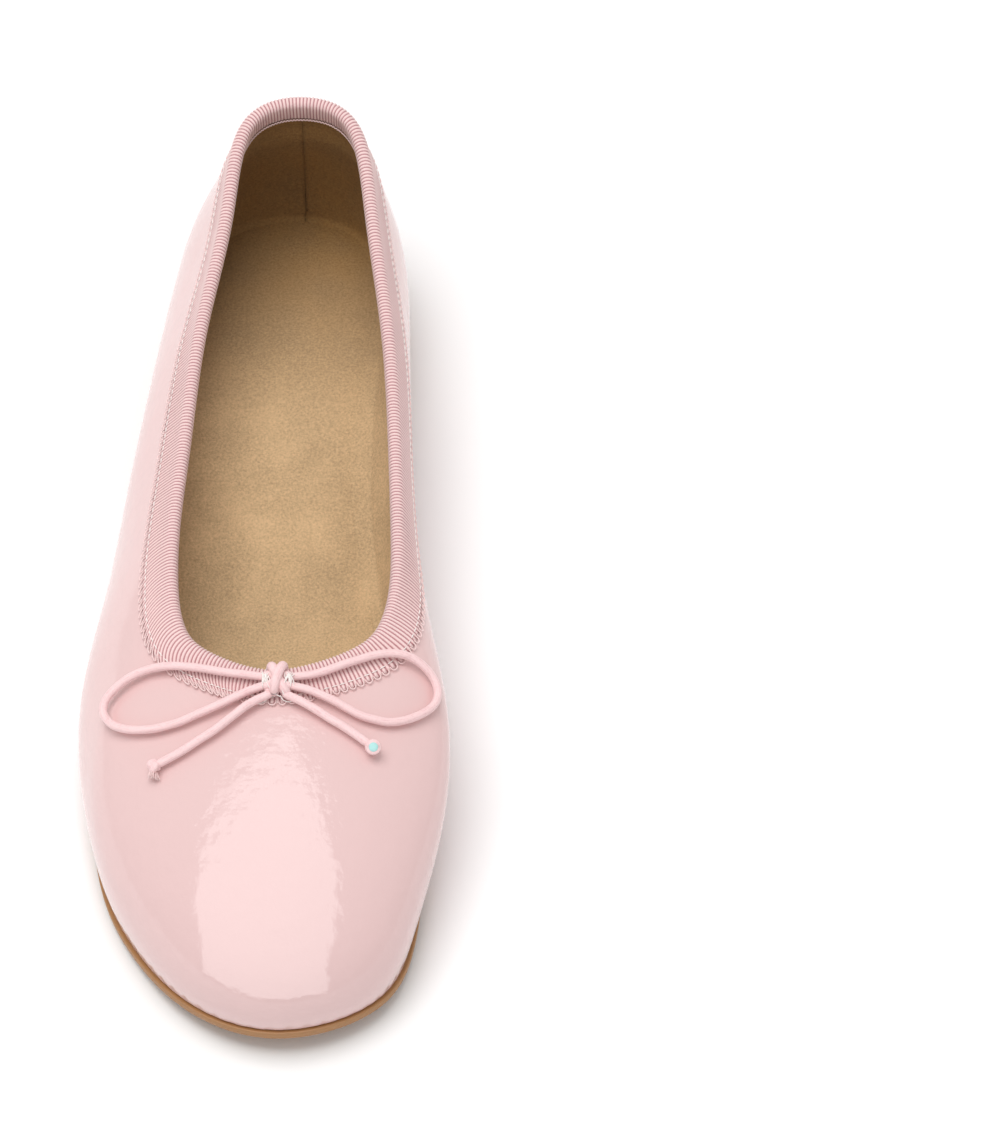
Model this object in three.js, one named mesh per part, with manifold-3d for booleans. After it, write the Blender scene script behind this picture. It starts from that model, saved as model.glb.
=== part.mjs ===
// Ballet slipper for a right foot: a whole-cut patent upper on a flat cemented sole, its topline
// bound in grosgrain ribbon that holds an elastic cord, with a small corded bow at the throat.
// Millimetres, +Z up. The toe points to -Y, the heel to +Y, the outer side of the foot to -X.
// The slipper stands on its tread and its heel, and the origin is on the floor under its middle.
import * as THREE from 'three';
import Module from 'manifold-3d';
import { mergeVertices } from 'three/addons/utils/BufferGeometryUtils.js';

const wasm = await Module();
wasm.setup();

// ---------------------------------------------------------------- driving dimensions
const SHOE = { length: 238, width: 78 };     // the feather line, where the upper meets the sole
const DRAWN = { length: 238, width: 78 };     // the sizes at which the stations below are drawn
const SOLE = { thick: 3, proud: 0.7, treadFront: -60, treadBack: -12, toeSpring: 5.2, springPower: 2.2 };
const HEEL = { rise: 9, breast: 62, topPiece: 2.6, inset: 1.4, taper: 1.2 };
const UPPER = { thick: 1.2, flange: 9, edge: 1.4 };   // edge: how far its cut edge lies below the topline
const STIFFENER = { thick: 0.8, reach: 0.6, puffReach: 0.5 };   // reach: share of the wall's height
const LINING = { thick: 0.8, thinStart: 14, thinEnd: 7 };   // it thins upwards between these depths
const INSOLE = { thick: 1.5, inset: 2.4 };
const FOAM = { thick: 1.2, inset: 4.3 };
const SOCK = { thick: 0.8, inset: 4.4 };
const SHANK = { thick: 1, width: 12, from: -14, to: 84 };
const FILLER = { thick: 1, clear: 0.6, back: -18 };
const RIBBON = { thick: 0.6, outside: 9.5, inside: 6, clear: 0.45 };
const ELASTIC = { radius: 0.8 };
const CORD = { radius: 1 };
const KNOT = { width: 6.4, length: 8, height: 3.4, down: 3, slant: 1.05 };
const TACK = { radius: 0.25, side: 2.75, inset: 0.9 };
const END_KNOT = { radius: 1.7, length: 3.2 };
const GAP = 0.3;                               // clearance between pieces that touch
const AROUND = 60;                             // steps around the foot, three to a station
const ALONG = 10;                              // steps up the wall
const ROW = 13;                                // longest step along a layer of the bottom
const FINE_ROW = 9.9;                          // the same in the sole and the shank
const CUT_ROW = 6.6;                           // the same in the filler
const HEEL_ROW = 5.4;                          // the same in the heel
const TURN_UP = 3;                             // the wall's first step, above the feather line

// The upper's shape at twenty stations around the foot, from the back of the heel along the outer
// side to the toe and back along the inner side. Each row holds the feather line's x and y, the
// topline's x, y and z, and the wall between them: how far it swells out and up as it leaves the
// sole, the lean in degrees with which it reaches the topline, and how far down that lean starts.
const STATIONS = [
  [7.5, 117, 7.5, 117, 61, 7, 20, 6, 16],
  [-14, 110.5, -6.3, 110.3, 59, 8, 20, 8, 16],
  [-23.5, 87, -11, 86, 52.5, 7, 18, 14, 16],
  [-27.5, 55, -16.5, 56, 47, 8, 18, 22, 16],
  [-31.5, 23, -19.5, 26, 43.5, 9, 18, 34, 16],
  [-36.5, -11, -21.5, 1, 42, 9, 17, 44, 18],
  [-40.5, -45, -21.5, -17, 41, 9, 17, 56, 22],
  [-38, -74, -20, -27.5, 41, 4.5, 18, 66, 28],
  [-30.8, -93.6, -16.5, -34.6, 41, 3.5, 20, 75, 34],
  [-16.5, -112, -8.5, -40, 41, 3.5, 21, 82, 38],
  [5.5, -121, 3.5, -43.2, 41, 3.5, 22, 84, 42],
  [28, -112, 16.8, -40, 41, 3.5, 21, 82, 38],
  [36.2, -93.6, 26, -34.6, 41, 4.5, 20, 74, 34],
  [37.5, -72, 30.3, -27.5, 41, 6.5, 18, 64, 26],
  [34.5, -43, 32.3, -16, 41, 8, 17, 46, 18],
  [29.5, -10, 32.3, 1, 42, 9, 16, 28, 15],
  [23.5, 21, 31.4, 26, 43.5, 14, 14, 20, 15],
  [23.5, 53, 29.4, 56, 47, 16, 14, 20, 15],
  [27.5, 85, 25.4, 86, 52.5, 13, 18, 14, 16],
  [23.8, 108.5, 20.6, 110, 59, 8, 20, 8, 16],
];
const TOE = 10;                                // the station at the toe's tip, and at the throat
const COUNT = STATIONS.length;

// ---------------------------------------------------------------- worked-out sizes
const LINING_DEPTH = UPPER.thick + STIFFENER.thick + 2 * GAP;   // from the upper's face to the lining
const EDGE_DEPTH = UPPER.thick + GAP;                           // the same, at the topline
const HALF_STACK = (EDGE_DEPTH + LINING.thick) / 2;             // from the upper's face to mid-stack
const FEATHER = SOLE.thick + GAP;                               // the upper's underside, over the sole's
const BOARD = FEATHER + UPPER.thick + GAP;                      // undersides of the pieces inside
const CUSHION = BOARD + INSOLE.thick + GAP;
const COVER = CUSHION + FOAM.thick + GAP;

// ---------------------------------------------------------------- the shape of the foot
function splineThrough(rows) {
  // Control rows of the closed uniform cubic spline that passes through the given rows.
  let rowsNow = rows.map((row) => [...row]);
  const n = rows.length;
  for (let pass = 0; pass < 60; pass += 1) {
    rowsNow = rows.map((row, i) => row.map((value, k) => (
      (6 * value - rowsNow[(i + n - 1) % n][k] - rowsNow[(i + 1) % n][k]) / 4)));
  }
  return rowsNow;
}

const SCALE = [SHOE.width / DRAWN.width, SHOE.length / DRAWN.length];
const STRETCH = new THREE.Vector3(SCALE[0], SCALE[1], 1);       // of what is drawn in plan
const CONTROL = splineThrough(STATIONS.map((row) => (
  row.map((value, k) => (k < 4 ? value * SCALE[k % 2] : value)))));

function station(v) {
  // The station row at v, where v counts the stations around the foot.
  const turn = ((v % COUNT) + COUNT) % COUNT;
  const i = Math.floor(turn);
  const t = turn - i;
  const weights = [(1 - t) ** 3, 3 * t ** 3 - 6 * t ** 2 + 4, 1 + 3 * t + 3 * t ** 2 - 3 * t ** 3, t ** 3];
  return CONTROL[0].map((_, k) => weights.reduce((sum, weight, j) => (
    sum + weight / 6 * CONTROL[(i + j + COUNT - 1) % COUNT][k]), 0));
}

function ground(y) {
  // Height of the sole's underside: flat at the tread, up to the heel, and sprung at the toe.
  const along = (y - SOLE.treadBack) / (HEEL.breast - SOLE.treadBack);
  const up = Math.min(Math.max(along, 0), 1);
  const toe = Math.max((SOLE.treadFront - y) / (SHOE.length / 2 + SOLE.treadFront), 0);
  return HEEL.rise * up * up * (3 - 2 * up) + SOLE.toeSpring * toe ** SOLE.springPower;
}

const STEP = 0.01;                             // of a station, for slopes around the foot

function planNormal(v, k) {
  // Outward direction in plan, square to the feather line (k = 0) or to the topline (k = 2).
  const ahead = station(v + STEP);
  const behind = station(v - STEP);
  return new THREE.Vector3(behind[k + 1] - ahead[k + 1], ahead[k] - behind[k], 0).normalize().negate();
}

function wallCurve(v) {
  // The upper's outer face at v, from the feather line up to the topline.
  const [x, y, topX, topY, topZ, flare, rise, lean, drop] = station(v);
  const angle = THREE.MathUtils.degToRad(lean);
  const side = planNormal(v, 2);
  const foot = new THREE.Vector3(x, y, ground(y) + FEATHER);
  const swell = foot.clone().addScaledVector(planNormal(v, 0).multiply(STRETCH), flare);
  swell.z += rise;
  const face = side.clone().multiplyScalar(Math.cos(angle));
  face.z += Math.sin(angle);
  const top = new THREE.Vector3(topX, topY, topZ).addScaledVector(face, HALF_STACK);
  const shoulder = top.clone().addScaledVector(side.clone().multiply(STRETCH), Math.sin(angle) * drop);
  shoulder.z -= Math.cos(angle) * drop;
  return new THREE.CubicBezierCurve3(foot, swell, shoulder, top);
}

const curves = new Map();
function curveAt(v) {
  const key = (((v % COUNT) + COUNT) % COUNT).toFixed(4);
  if (!curves.has(key)) curves.set(key, wallCurve(v));
  return curves.get(key);
}

function skin(v, down, depth) {
  // A point of the wall at v: down along it from the topline, and depth in from its outer face.
  const curve = curveAt(v);
  const u = 1 - Math.min(down / curve.getLength(), 1);
  const share = curve.getUtoTmapping(u);
  const around = curveAt(v + STEP).getPoint(share).sub(curveAt(v - STEP).getPoint(share));
  const out = around.cross(curve.getTangent(share)).normalize();
  return curve.getPoint(share).addScaledVector(out, -depth);
}

function height(v) {
  return curveAt(v).getLength();
}

function feather(v, inset) {
  // A point of the feather line, set in by inset, at the level of the sole's underside.
  const [x, y] = station(v);
  const point = new THREE.Vector3(x, y, 0).addScaledVector(planNormal(v, 0), -inset);
  point.z = ground(point.y);
  return point;
}

// ---------------------------------------------------------------- solids from rows of points
function solid(points, faces) {
  const geometry = new THREE.BufferGeometry();
  geometry.setAttribute('position', new THREE.Float32BufferAttribute(points.flatMap((p) => p.toArray()), 3));
  geometry.setIndex(faces.flat());
  return geometry;
}

function shell(rings, closed) {
  // A solid through rings of points. Each ring goes up one face of a thin wall and back down the
  // other, and where the row of rings isn't closed its two ends are capped.
  const n = rings[0].length;
  const faces = [];
  const spans = closed ? rings.length : rings.length - 1;
  for (let i = 0; i < spans; i += 1) {
    const here = i * n;
    const next = ((i + 1) % rings.length) * n;
    for (let j = 0; j < n; j += 1) {
      const k = (j + 1) % n;
      faces.push([here + j, next + j, next + k], [here + j, next + k, here + k]);
    }
  }
  const last = (rings.length - 1) * n;
  for (let j = 0; !closed && j < n / 2 - 1; j += 1) {
    const back = n - 1 - j;
    faces.push([j, j + 1, back - 1], [j, back - 1, back]);
    faces.push([last + j, last + back, last + back - 1], [last + j, last + back - 1, last + j + 1]);
  }
  return solid(rings.flat(), faces);
}

function steps(from, to, count) {
  return Array.from({ length: count + 1 }, (_, i) => from + (to - from) * i / count);
}

function around() {
  return steps(0, COUNT, AROUND).slice(0, -1);
}

function rise(v, reach = 1) {
  // Distances down from the topline of the steps up the wall, as far as its reach. The lining
  // thins between two of them, below the ribbon's inner edge.
  const all = [...steps(height(v) - TURN_UP, LINING.thinStart, ALONG - 2), LINING.thinEnd, UPPER.edge];
  return all.slice(0, Math.round(reach * ALONG) + 1);
}

function sideOf(y, inset, lateral) {
  // Where the feather line, set in by inset, crosses y on the given side of the foot.
  let low = lateral ? 0 : COUNT;
  let high = TOE;
  for (let i = 0; i < 30; i += 1) {
    const middle = (low + high) / 2;
    if (feather(middle, inset).y > y) low = middle;
    else high = middle;
  }
  return feather((low + high) / 2, inset).x;
}

function slab({ from, to, top, bottom, inset, taper = 0, width, row = ROW, across = 3 }) {
  // A layer of the bottom, between two heights over the sole's underside, from y = from back to
  // y = to. It fills the foot's outline less its inset, or is a strip of the given width.
  const ends = [feather(TOE, inset).y + 0.4, feather(0, inset).y - 0.4];
  const front = Math.max(from ?? ends[0], ends[0]);
  const back = Math.min(to ?? ends[1], ends[1]);
  const round = [front === ends[0], back === ends[1]];
  const rows = Math.ceil((back - front) / row);
  const points = [];
  for (let i = 0; i <= rows; i += 1) {
    // Rows crowd together at a rounded end, and are even at a cut one.
    const t = i / rows;
    const even = front + (back - front) * t;
    const crowded = (front + back) / 2 - Math.cos(Math.PI * t) * (back - front) / 2;
    const y = round[t < 0.5 ? 0 : 1] ? crowded : even;
    const level = ground(y);
    for (const layer of [top, bottom]) {
      const sink = layer === bottom ? inset + taper : inset;
      const edges = [true, false].map((lateral) => sideOf(y, sink, lateral));
      const middle = (edges[0] + edges[1]) / 2;
      const half = Math.min((edges[1] - edges[0]) / 2, (width ?? Infinity) / 2);
      const z = typeof layer === 'function' ? layer(level) : level + layer;
      for (const x of steps(middle - half, middle + half, across)) points.push(new THREE.Vector3(x, y, z));
    }
  }
  const n = across + 1;
  const faces = [];
  const quad = (a, b, c, d) => faces.push([a, b, c], [a, c, d]);
  for (let i = 0; i < rows; i += 1) {
    const here = i * 2 * n;
    const next = here + 2 * n;
    for (let j = 0; j < across; j += 1) {
      quad(here + j, here + j + 1, next + j + 1, next + j);
      quad(here + n + j + 1, here + n + j, next + n + j, next + n + j + 1);
    }
    quad(here, next, next + n, here + n);
    quad(here + across, here + n + across, next + n + across, next + across);
  }
  const last = rows * 2 * n;
  for (let j = 0; j < across; j += 1) {
    quad(j + 1, j, n + j, n + j + 1);
    quad(last + j, last + j + 1, last + n + j + 1, last + n + j);
  }
  return solid(points, faces);
}

// ---------------------------------------------------------------- the bottom
function outsole() {
  return slab({ top: SOLE.thick, bottom: 0, inset: -SOLE.proud, row: FINE_ROW });
}

function heelLift() {
  return slab({
    from: HEEL.breast, top: -GAP, bottom: () => HEEL.topPiece + GAP,
    inset: HEEL.inset, taper: HEEL.taper, row: HEEL_ROW,
  });
}

function heelTopPiece() {
  return slab({
    from: HEEL.breast + HEEL.taper, top: () => HEEL.topPiece, bottom: () => 0,
    inset: HEEL.inset + HEEL.taper, row: HEEL_ROW,
  });
}

function shank() {
  return slab({
    from: SHANK.from, to: SHANK.to, top: FEATHER + SHANK.thick, bottom: FEATHER,
    inset: UPPER.flange + GAP, width: SHANK.width, row: FINE_ROW, across: 1,
  });
}

function bottomFiller() {
  return slab({
    to: FILLER.back, top: FEATHER + FILLER.thick, bottom: FEATHER,
    inset: UPPER.flange + FILLER.clear, row: CUT_ROW, across: 2,
  });
}

function insoleBoard() {
  return slab({ top: BOARD + INSOLE.thick, bottom: BOARD, inset: INSOLE.inset });
}

function sockFoam() {
  return slab({ top: CUSHION + FOAM.thick, bottom: CUSHION, inset: FOAM.inset });
}

function sock() {
  return slab({ top: COVER + SOCK.thick, bottom: COVER, inset: SOCK.inset });
}

// ---------------------------------------------------------------- the wall
function upper() {
  // The wall of the upper, with the margin that is lasted in under the insole board.
  const rings = around().map((v) => {
    const { 5: out, 6: up } = station(v);
    const mitre = (Math.hypot(out, up) - out) / up;
    const downs = rise(v);
    const outside = [feather(v, UPPER.flange), feather(v, 0)];
    const inside = [feather(v, UPPER.flange), feather(v, UPPER.thick * mitre)];
    outside.forEach((point) => { point.z += FEATHER; });
    inside.forEach((point) => { point.z += FEATHER + UPPER.thick; });
    outside.push(...downs.map((down) => skin(v, down, 0)));
    inside.push(...downs.map((down) => skin(v, down, UPPER.thick)));
    return [...outside, ...inside.reverse()];
  });
  return shell(rings, true);
}

function layer(from, to, { thick, reach, depth }) {
  // A layer inside the upper, between two of the steps around the foot, with a gap at each end.
  const vs = steps(from, to, to - from).map((step) => step * COUNT / AROUND);
  vs[0] += APART;
  vs[vs.length - 1] -= APART;
  const rings = vs.map((v) => {
    const downs = rise(v, reach);
    const outside = downs.map((down) => skin(v, down, depth(down)));
    const inside = downs.map((down) => skin(v, down, depth(down) + thick));
    return [...outside, ...inside.reverse()];
  });
  return shell(rings, false);
}

function stiffener(from, to, reach = STIFFENER.reach) {
  return layer(from, to, { thick: STIFFENER.thick, reach, depth: () => UPPER.thick + GAP });
}

function liningDepth(down) {
  // The lining lies behind the stiffeners and closes up to the upper near the topline.
  const t = THREE.MathUtils.smoothstep(down, LINING.thinEnd, LINING.thinStart);
  return EDGE_DEPTH + (LINING_DEPTH - EDGE_DEPTH) * t;
}

function lining(from, to) {
  return layer(from, to, { thick: LINING.thick, reach: 1, depth: liningDepth });
}

// Where the layers inside the upper end, in steps around the foot from the back of the heel.
const LINING_JOIN = { lateral: 17, medial: AROUND - 17 };
const COUNTER_END = { lateral: 10, medial: AROUND - 10 };
const PUFF_END = { lateral: 22, medial: AROUND - 22 };
const APART = 0.012;                           // of a station, half the gap left at a join

// ---------------------------------------------------------------- the topline
function ribbon() {
  // The ribbon folded over the topline: down the outside, around the elastic, down the inside.
  const half = Math.PI / 2;
  const rings = around().map((v) => {
    const top = skin(v, 0, HALF_STACK);
    const out = skin(v, 0, HALF_STACK - 1).sub(top).normalize();
    const up = skin(v, 0, HALF_STACK).sub(skin(v, 0.5, HALF_STACK)).normalize();
    const face = (clear) => [
      ...steps(RIBBON.outside, 0, 3).slice(0, -1).map((down) => skin(v, down, -clear)),
      ...steps(half, -half, 4).map((angle) => top.clone()
        .addScaledVector(out, Math.sin(angle) * (HALF_STACK + clear))
        .addScaledVector(up, Math.cos(angle) * (HALF_STACK + clear))),
      ...steps(0, RIBBON.inside, 2).slice(1).map((down) => skin(v, down, 2 * HALF_STACK + clear)),
    ];
    return [...face(RIBBON.clear + RIBBON.thick), ...face(RIBBON.clear).reverse()];
  });
  return shell(rings, true);
}

function elastic() {
  // The elastic cord in the ribbon's fold.
  const rings = around().map((v) => {
    const top = skin(v, 0, HALF_STACK);
    const out = skin(v, 0, HALF_STACK - 1).sub(top).normalize();
    const up = skin(v, 0, HALF_STACK).sub(skin(v, 0.5, HALF_STACK)).normalize();
    return steps(0, 2 * Math.PI, 6).slice(1).map((angle) => top.clone()
      .addScaledVector(out, Math.cos(angle) * ELASTIC.radius)
      .addScaledVector(up, Math.sin(angle) * ELASTIC.radius));
  });
  return shell(rings, true);
}

// ---------------------------------------------------------------- the bow
// The free stretches of the bow's cord, each from the knot outwards over the ribbon and the vamp.
const ROUTES = {
  loopLateral: [
    [1.1, -45.6, 44.4], [-3.5, -44.8, 44.3], [-8.5, -44, 44.2], [-13.5, -42.8, 43.9], [-19, -41.6, 43.1],
    [-23, -41.1, 42.1], [-27, -41.2, 40.6], [-31, -42.3, 38.9], [-34, -44, 37.2], [-36.2, -46, 35.4],
    [-36.8, -48.5, 34.6], [-36, -51, 34.9], [-34, -53.6, 35.8], [-30.5, -55.6, 37.1], [-26, -56.6, 38.5],
    [-22.5, -56.6, 39.5], [-18, -55.8, 40.7], [-14, -54.4, 41.8], [-10, -52.9, 42.7], [-6.5, -51.3, 43.3],
    [-2.5, -49.4, 43.8], [1.1, -48, 44.1],
  ],
  loopMedial: [
    [8.2, -45.6, 44.4], [12, -45, 44.3], [15.6, -43.9, 44.2], [20, -41.9, 44.2], [24.4, -40, 43.9],
    [27.5, -38.7, 43.5], [30.6, -37.9, 43], [33.4, -37.7, 42.4], [36.3, -38, 41.1], [39, -39.2, 39.3],
    [41.2, -41.2, 37.2], [42.2, -44.2, 36.2], [41.6, -47.5, 36.2], [39.4, -50.5, 37], [36.2, -53, 38],
    [33.5, -54.4, 38.8], [30.5, -55.2, 39.6], [27.5, -55.1, 40.5], [24.4, -54.5, 41.2], [21.3, -53.2, 42.1],
    [18.5, -51.8, 42.9], [15.3, -50.3, 43.5], [12, -49, 43.9], [8.2, -48, 44.1],
  ],
  tailLateral: [
    [1.4, -50.8, 43.7], [-0.7, -51.9, 43.6], [-2.8, -53.3, 43.4], [-5, -55.1, 43], [-7.6, -57.2, 42.4],
    [-10.6, -59.4, 41.6], [-13.8, -61.3, 40.8], [-17, -63.2, 39.8], [-20, -64.6, 38.8], [-22.4, -65.6, 38],
  ],
  tailMedial: [
    [7.9, -50.8, 43.7], [10.5, -52.1, 43.5], [13.6, -53.9, 43], [16.6, -55.8, 42.4], [19.8, -57.6, 41.7],
    [22.7, -59.4, 41], [25.2, -61.2, 40.5],
  ],
};

function cord(route, radius, spacing = 4.4 * radius) {
  // A length of cord along a route, with square ends.
  const path = new THREE.CatmullRomCurve3(route.map((point) => new THREE.Vector3(...point)));
  const section = new THREE.Shape().absarc(0, 0, radius, 0, 2 * Math.PI);
  return new THREE.ExtrudeGeometry(section, {
    steps: Math.round(path.getLength() / spacing), curveSegments: 4, bevelEnabled: false, extrudePath: path,
  });
}

function knotFrame() {
  // The middle of the bow's knot, on the ribbon at the throat, with its axes: +X, forward and out.
  const v = TOE + 0.07;
  const ribbonFace = RIBBON.clear + RIBBON.thick + GAP;
  const middle = skin(v, KNOT.down, -(ribbonFace + KNOT.height / 2));
  const out = skin(v, KNOT.down, -1).sub(skin(v, KNOT.down, 0)).normalize();
  const side = new THREE.Vector3(1, 0, 0);
  return new THREE.Matrix4().makeBasis(side, out.clone().cross(side), out).setPosition(middle);
}

function asManifold(geometry) {
  const bare = geometry.clone();
  bare.deleteAttribute('normal');
  bare.deleteAttribute('uv');
  const merged = mergeVertices(bare, 1e-4);
  return new wasm.Manifold(new wasm.Mesh({
    numProp: 3,
    vertProperties: new Float32Array(merged.attributes.position.array),
    triVerts: new Uint32Array(merged.index.array),
  }));
}

function bowKnot() {
  // The crossed cords, and the two turns of cord that bind them.
  const core = new THREE.SphereGeometry(1, 12, 8)
    .scale(KNOT.width / 2, (KNOT.length - CORD.radius) / 2, KNOT.height / 2);
  const end = KNOT.length / 2 - CORD.radius;
  const crown = KNOT.height / 2;
  const [SHOULDER, LIFT] = [0.6, 0.7];          // where a turn bends over the core, as shares of it
  const turns = [-1, 1].map((hand) => cord([
    [hand * KNOT.slant, -end, -crown / 2],
    [hand * KNOT.slant * SHOULDER, -end * SHOULDER, crown * LIFT],
    [0, 0, crown],
    [-hand * KNOT.slant * SHOULDER, end * SHOULDER, crown * LIFT],
    [-hand * KNOT.slant, end, -crown / 2],
  ], CORD.radius, CORD.radius));
  const joined = [core, ...turns].map(asManifold).reduce((sum, next) => sum.add(next)).getMesh();
  const geometry = new THREE.BufferGeometry();
  geometry.setAttribute('position', new THREE.BufferAttribute(joined.vertProperties, 3));
  geometry.setIndex([...joined.triVerts]);
  return geometry.applyMatrix4(knotFrame());
}

function tackStitch(hand) {
  // A thread over one side of the knot, down to the ribbon on both sides of it.
  const reach = KNOT.length / 2 - TACK.inset;
  const foot = -KNOT.height / 2;
  const route = steps(0, Math.PI, 8).map((angle) => [
    hand * TACK.side, -Math.cos(angle) * reach, Math.sin(angle) * KNOT.height / 2]);
  route.unshift([hand * TACK.side, -reach, foot]);
  route.push([hand * TACK.side, reach, foot]);
  return cord(route, TACK.radius, 4 * TACK.radius).applyMatrix4(knotFrame());
}

function endKnot(route) {
  // The overhand knot that ends a tail, past the route's last point.
  const last = new THREE.Vector3(...route.at(-1));
  const along = last.clone().sub(new THREE.Vector3(...route.at(-2))).normalize();
  const ball = new THREE.SphereGeometry(1, 10, 8)
    .scale(END_KNOT.radius, END_KNOT.length / 2, END_KNOT.radius);
  ball.applyQuaternion(new THREE.Quaternion().setFromUnitVectors(new THREE.Vector3(0, 1, 0), along));
  const middle = last.addScaledVector(along, GAP + END_KNOT.length / 2);
  return ball.translate(middle.x, middle.y, middle.z);
}

// ---------------------------------------------------------------- the parts and their colours
const FINISH = {
  patent: { color: 0xe8c9c6, roughness: 0.08, metalness: 0 },
  ribbon: { color: 0xdcaeb0, roughness: 0.8, metalness: 0 },
  cord: { color: 0xebc3c1, roughness: 0.6, metalness: 0 },
  suede: { color: 0xb39770, roughness: 0.95, metalness: 0 },
  sole: { color: 0x9a6442, roughness: 0.5, metalness: 0 },
  board: { color: 0xcdbb98, roughness: 0.9, metalness: 0 },
  cork: { color: 0xa57f52, roughness: 0.95, metalness: 0 },
  foam: { color: 0xe9e2cf, roughness: 0.95, metalness: 0 },
  steel: { color: 0x9fa3a6, roughness: 0.35, metalness: 1 },
  rubber: { color: 0x7d4f33, roughness: 0.7, metalness: 0 },
  thread: { color: 0xf4eae6, roughness: 0.6, metalness: 0 },
  elastic: { color: 0xf1ece6, roughness: 0.8, metalness: 0 },
  fibre: { color: 0xd9cdb8, roughness: 0.9, metalness: 0 },
};

const slipper = new THREE.Group();

function add(name, geometry, finish) {
  const mesh = new THREE.Mesh(geometry, new THREE.MeshStandardMaterial(FINISH[finish]));
  mesh.name = name;
  slipper.add(mesh);
  return mesh;
}

add('outsole', outsole(), 'sole');
add('heel_lift', heelLift(), 'sole');
add('heel_top_piece', heelTopPiece(), 'rubber');
add('shank', shank(), 'steel');
add('bottom_filler', bottomFiller(), 'cork');
add('insole_board', insoleBoard(), 'board');
add('sock_foam', sockFoam(), 'foam');
add('sock', sock(), 'suede');
add('upper', upper(), 'patent');
add('heel_counter', stiffener(COUNTER_END.medial - AROUND, COUNTER_END.lateral), 'fibre');
add('quarter_backer_lateral', stiffener(COUNTER_END.lateral, PUFF_END.lateral), 'board');
add('toe_puff', stiffener(PUFF_END.lateral, PUFF_END.medial, STIFFENER.puffReach), 'fibre');
add('quarter_backer_medial', stiffener(PUFF_END.medial, COUNTER_END.medial), 'board');
add('quarter_lining_lateral', lining(0, LINING_JOIN.lateral), 'suede');
add('vamp_lining', lining(LINING_JOIN.lateral, LINING_JOIN.medial), 'suede');
add('quarter_lining_medial', lining(LINING_JOIN.medial, AROUND), 'suede');
add('topline_ribbon', ribbon(), 'ribbon');
add('topline_elastic', elastic(), 'elastic');

add('bow_knot', bowKnot(), 'cord');
add('tack_stitch_lateral', tackStitch(-1), 'thread');
add('tack_stitch_medial', tackStitch(1), 'thread');
add('bow_loop_lateral', cord(ROUTES.loopLateral, CORD.radius), 'cord');
add('bow_loop_medial', cord(ROUTES.loopMedial, CORD.radius), 'cord');
add('bow_tail_lateral', cord(ROUTES.tailLateral, CORD.radius), 'cord');
add('bow_tail_medial', cord(ROUTES.tailMedial, CORD.radius), 'cord');
add('tail_knot_lateral', endKnot(ROUTES.tailLateral), 'cord');
add('tail_knot_medial', endKnot(ROUTES.tailMedial), 'cord');

export default slipper;
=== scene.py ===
"""Ballet slipper: the pieces that show, their finishes, and the stage they stand on."""

import math

import bpy
import numpy as np
from bpy.props import FloatProperty, FloatVectorProperty, PointerProperty
from bpy.types import Operator, Panel, PropertyGroup
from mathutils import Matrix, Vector


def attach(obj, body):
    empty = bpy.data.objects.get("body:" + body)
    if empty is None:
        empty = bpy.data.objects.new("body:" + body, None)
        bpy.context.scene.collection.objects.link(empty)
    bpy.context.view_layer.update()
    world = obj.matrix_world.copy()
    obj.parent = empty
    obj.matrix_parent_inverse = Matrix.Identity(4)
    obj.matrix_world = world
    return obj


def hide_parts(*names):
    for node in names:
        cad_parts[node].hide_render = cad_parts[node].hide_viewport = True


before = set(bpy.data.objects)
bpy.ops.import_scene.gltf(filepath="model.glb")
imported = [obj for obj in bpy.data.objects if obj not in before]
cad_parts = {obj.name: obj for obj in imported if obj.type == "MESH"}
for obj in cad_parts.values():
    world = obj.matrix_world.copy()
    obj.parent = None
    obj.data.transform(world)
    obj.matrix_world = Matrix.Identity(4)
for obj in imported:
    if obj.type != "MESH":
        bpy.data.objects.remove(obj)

bl_info = {
    "name": "Ballet slipper",
    "version": (1, 0, 0),
    "blender": (4, 5, 0),
    "location": "3D View > Sidebar > Slipper",
    "description": "Builds a patent ballet slipper with a ribbon-bound topline and a corded bow",
    "category": "Add Mesh",
}

MM = 0.001
SHOE_BODY = "shoe"

# ---------------- the shape of the foot, in mm
# Each row: feather line x, y; topline x, y, z; swell out, swell up, lean in degrees, lean's drop.
STATIONS = np.array([
    [7.5, 117, 7.5, 117, 61, 7, 20, 6, 16],
    [-14, 110.5, -6.3, 110.3, 59, 8, 20, 8, 16],
    [-23.5, 87, -11, 86, 52.5, 7, 18, 14, 16],
    [-27.5, 55, -16.5, 56, 47, 8, 18, 22, 16],
    [-31.5, 23, -19.5, 26, 43.5, 9, 18, 34, 16],
    [-36.5, -11, -21.5, 1, 42, 9, 17, 44, 18],
    [-40.5, -45, -21.5, -17, 41, 9, 17, 56, 22],
    [-38, -74, -20, -27.5, 41, 4.5, 18, 66, 28],
    [-30.8, -93.6, -16.5, -34.6, 41, 3.5, 20, 75, 34],
    [-16.5, -112, -8.5, -40, 41, 3.5, 21, 82, 38],
    [5.5, -121, 3.5, -43.2, 41, 3.5, 22, 84, 42],
    [28, -112, 16.8, -40, 41, 3.5, 21, 82, 38],
    [36.2, -93.6, 26, -34.6, 41, 4.5, 20, 74, 34],
    [37.5, -72, 30.3, -27.5, 41, 6.5, 18, 64, 26],
    [34.5, -43, 32.3, -16, 41, 8, 17, 46, 18],
    [29.5, -10, 32.3, 1, 42, 9, 16, 28, 15],
    [23.5, 21, 31.4, 26, 43.5, 14, 14, 20, 15],
    [23.5, 53, 29.4, 56, 47, 16, 14, 20, 15],
    [27.5, 85, 25.4, 86, 52.5, 13, 18, 14, 16],
    [23.8, 108.5, 20.6, 110, 59, 8, 20, 8, 16],
])
COUNT = len(STATIONS)
TOE = COUNT // 2
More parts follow.
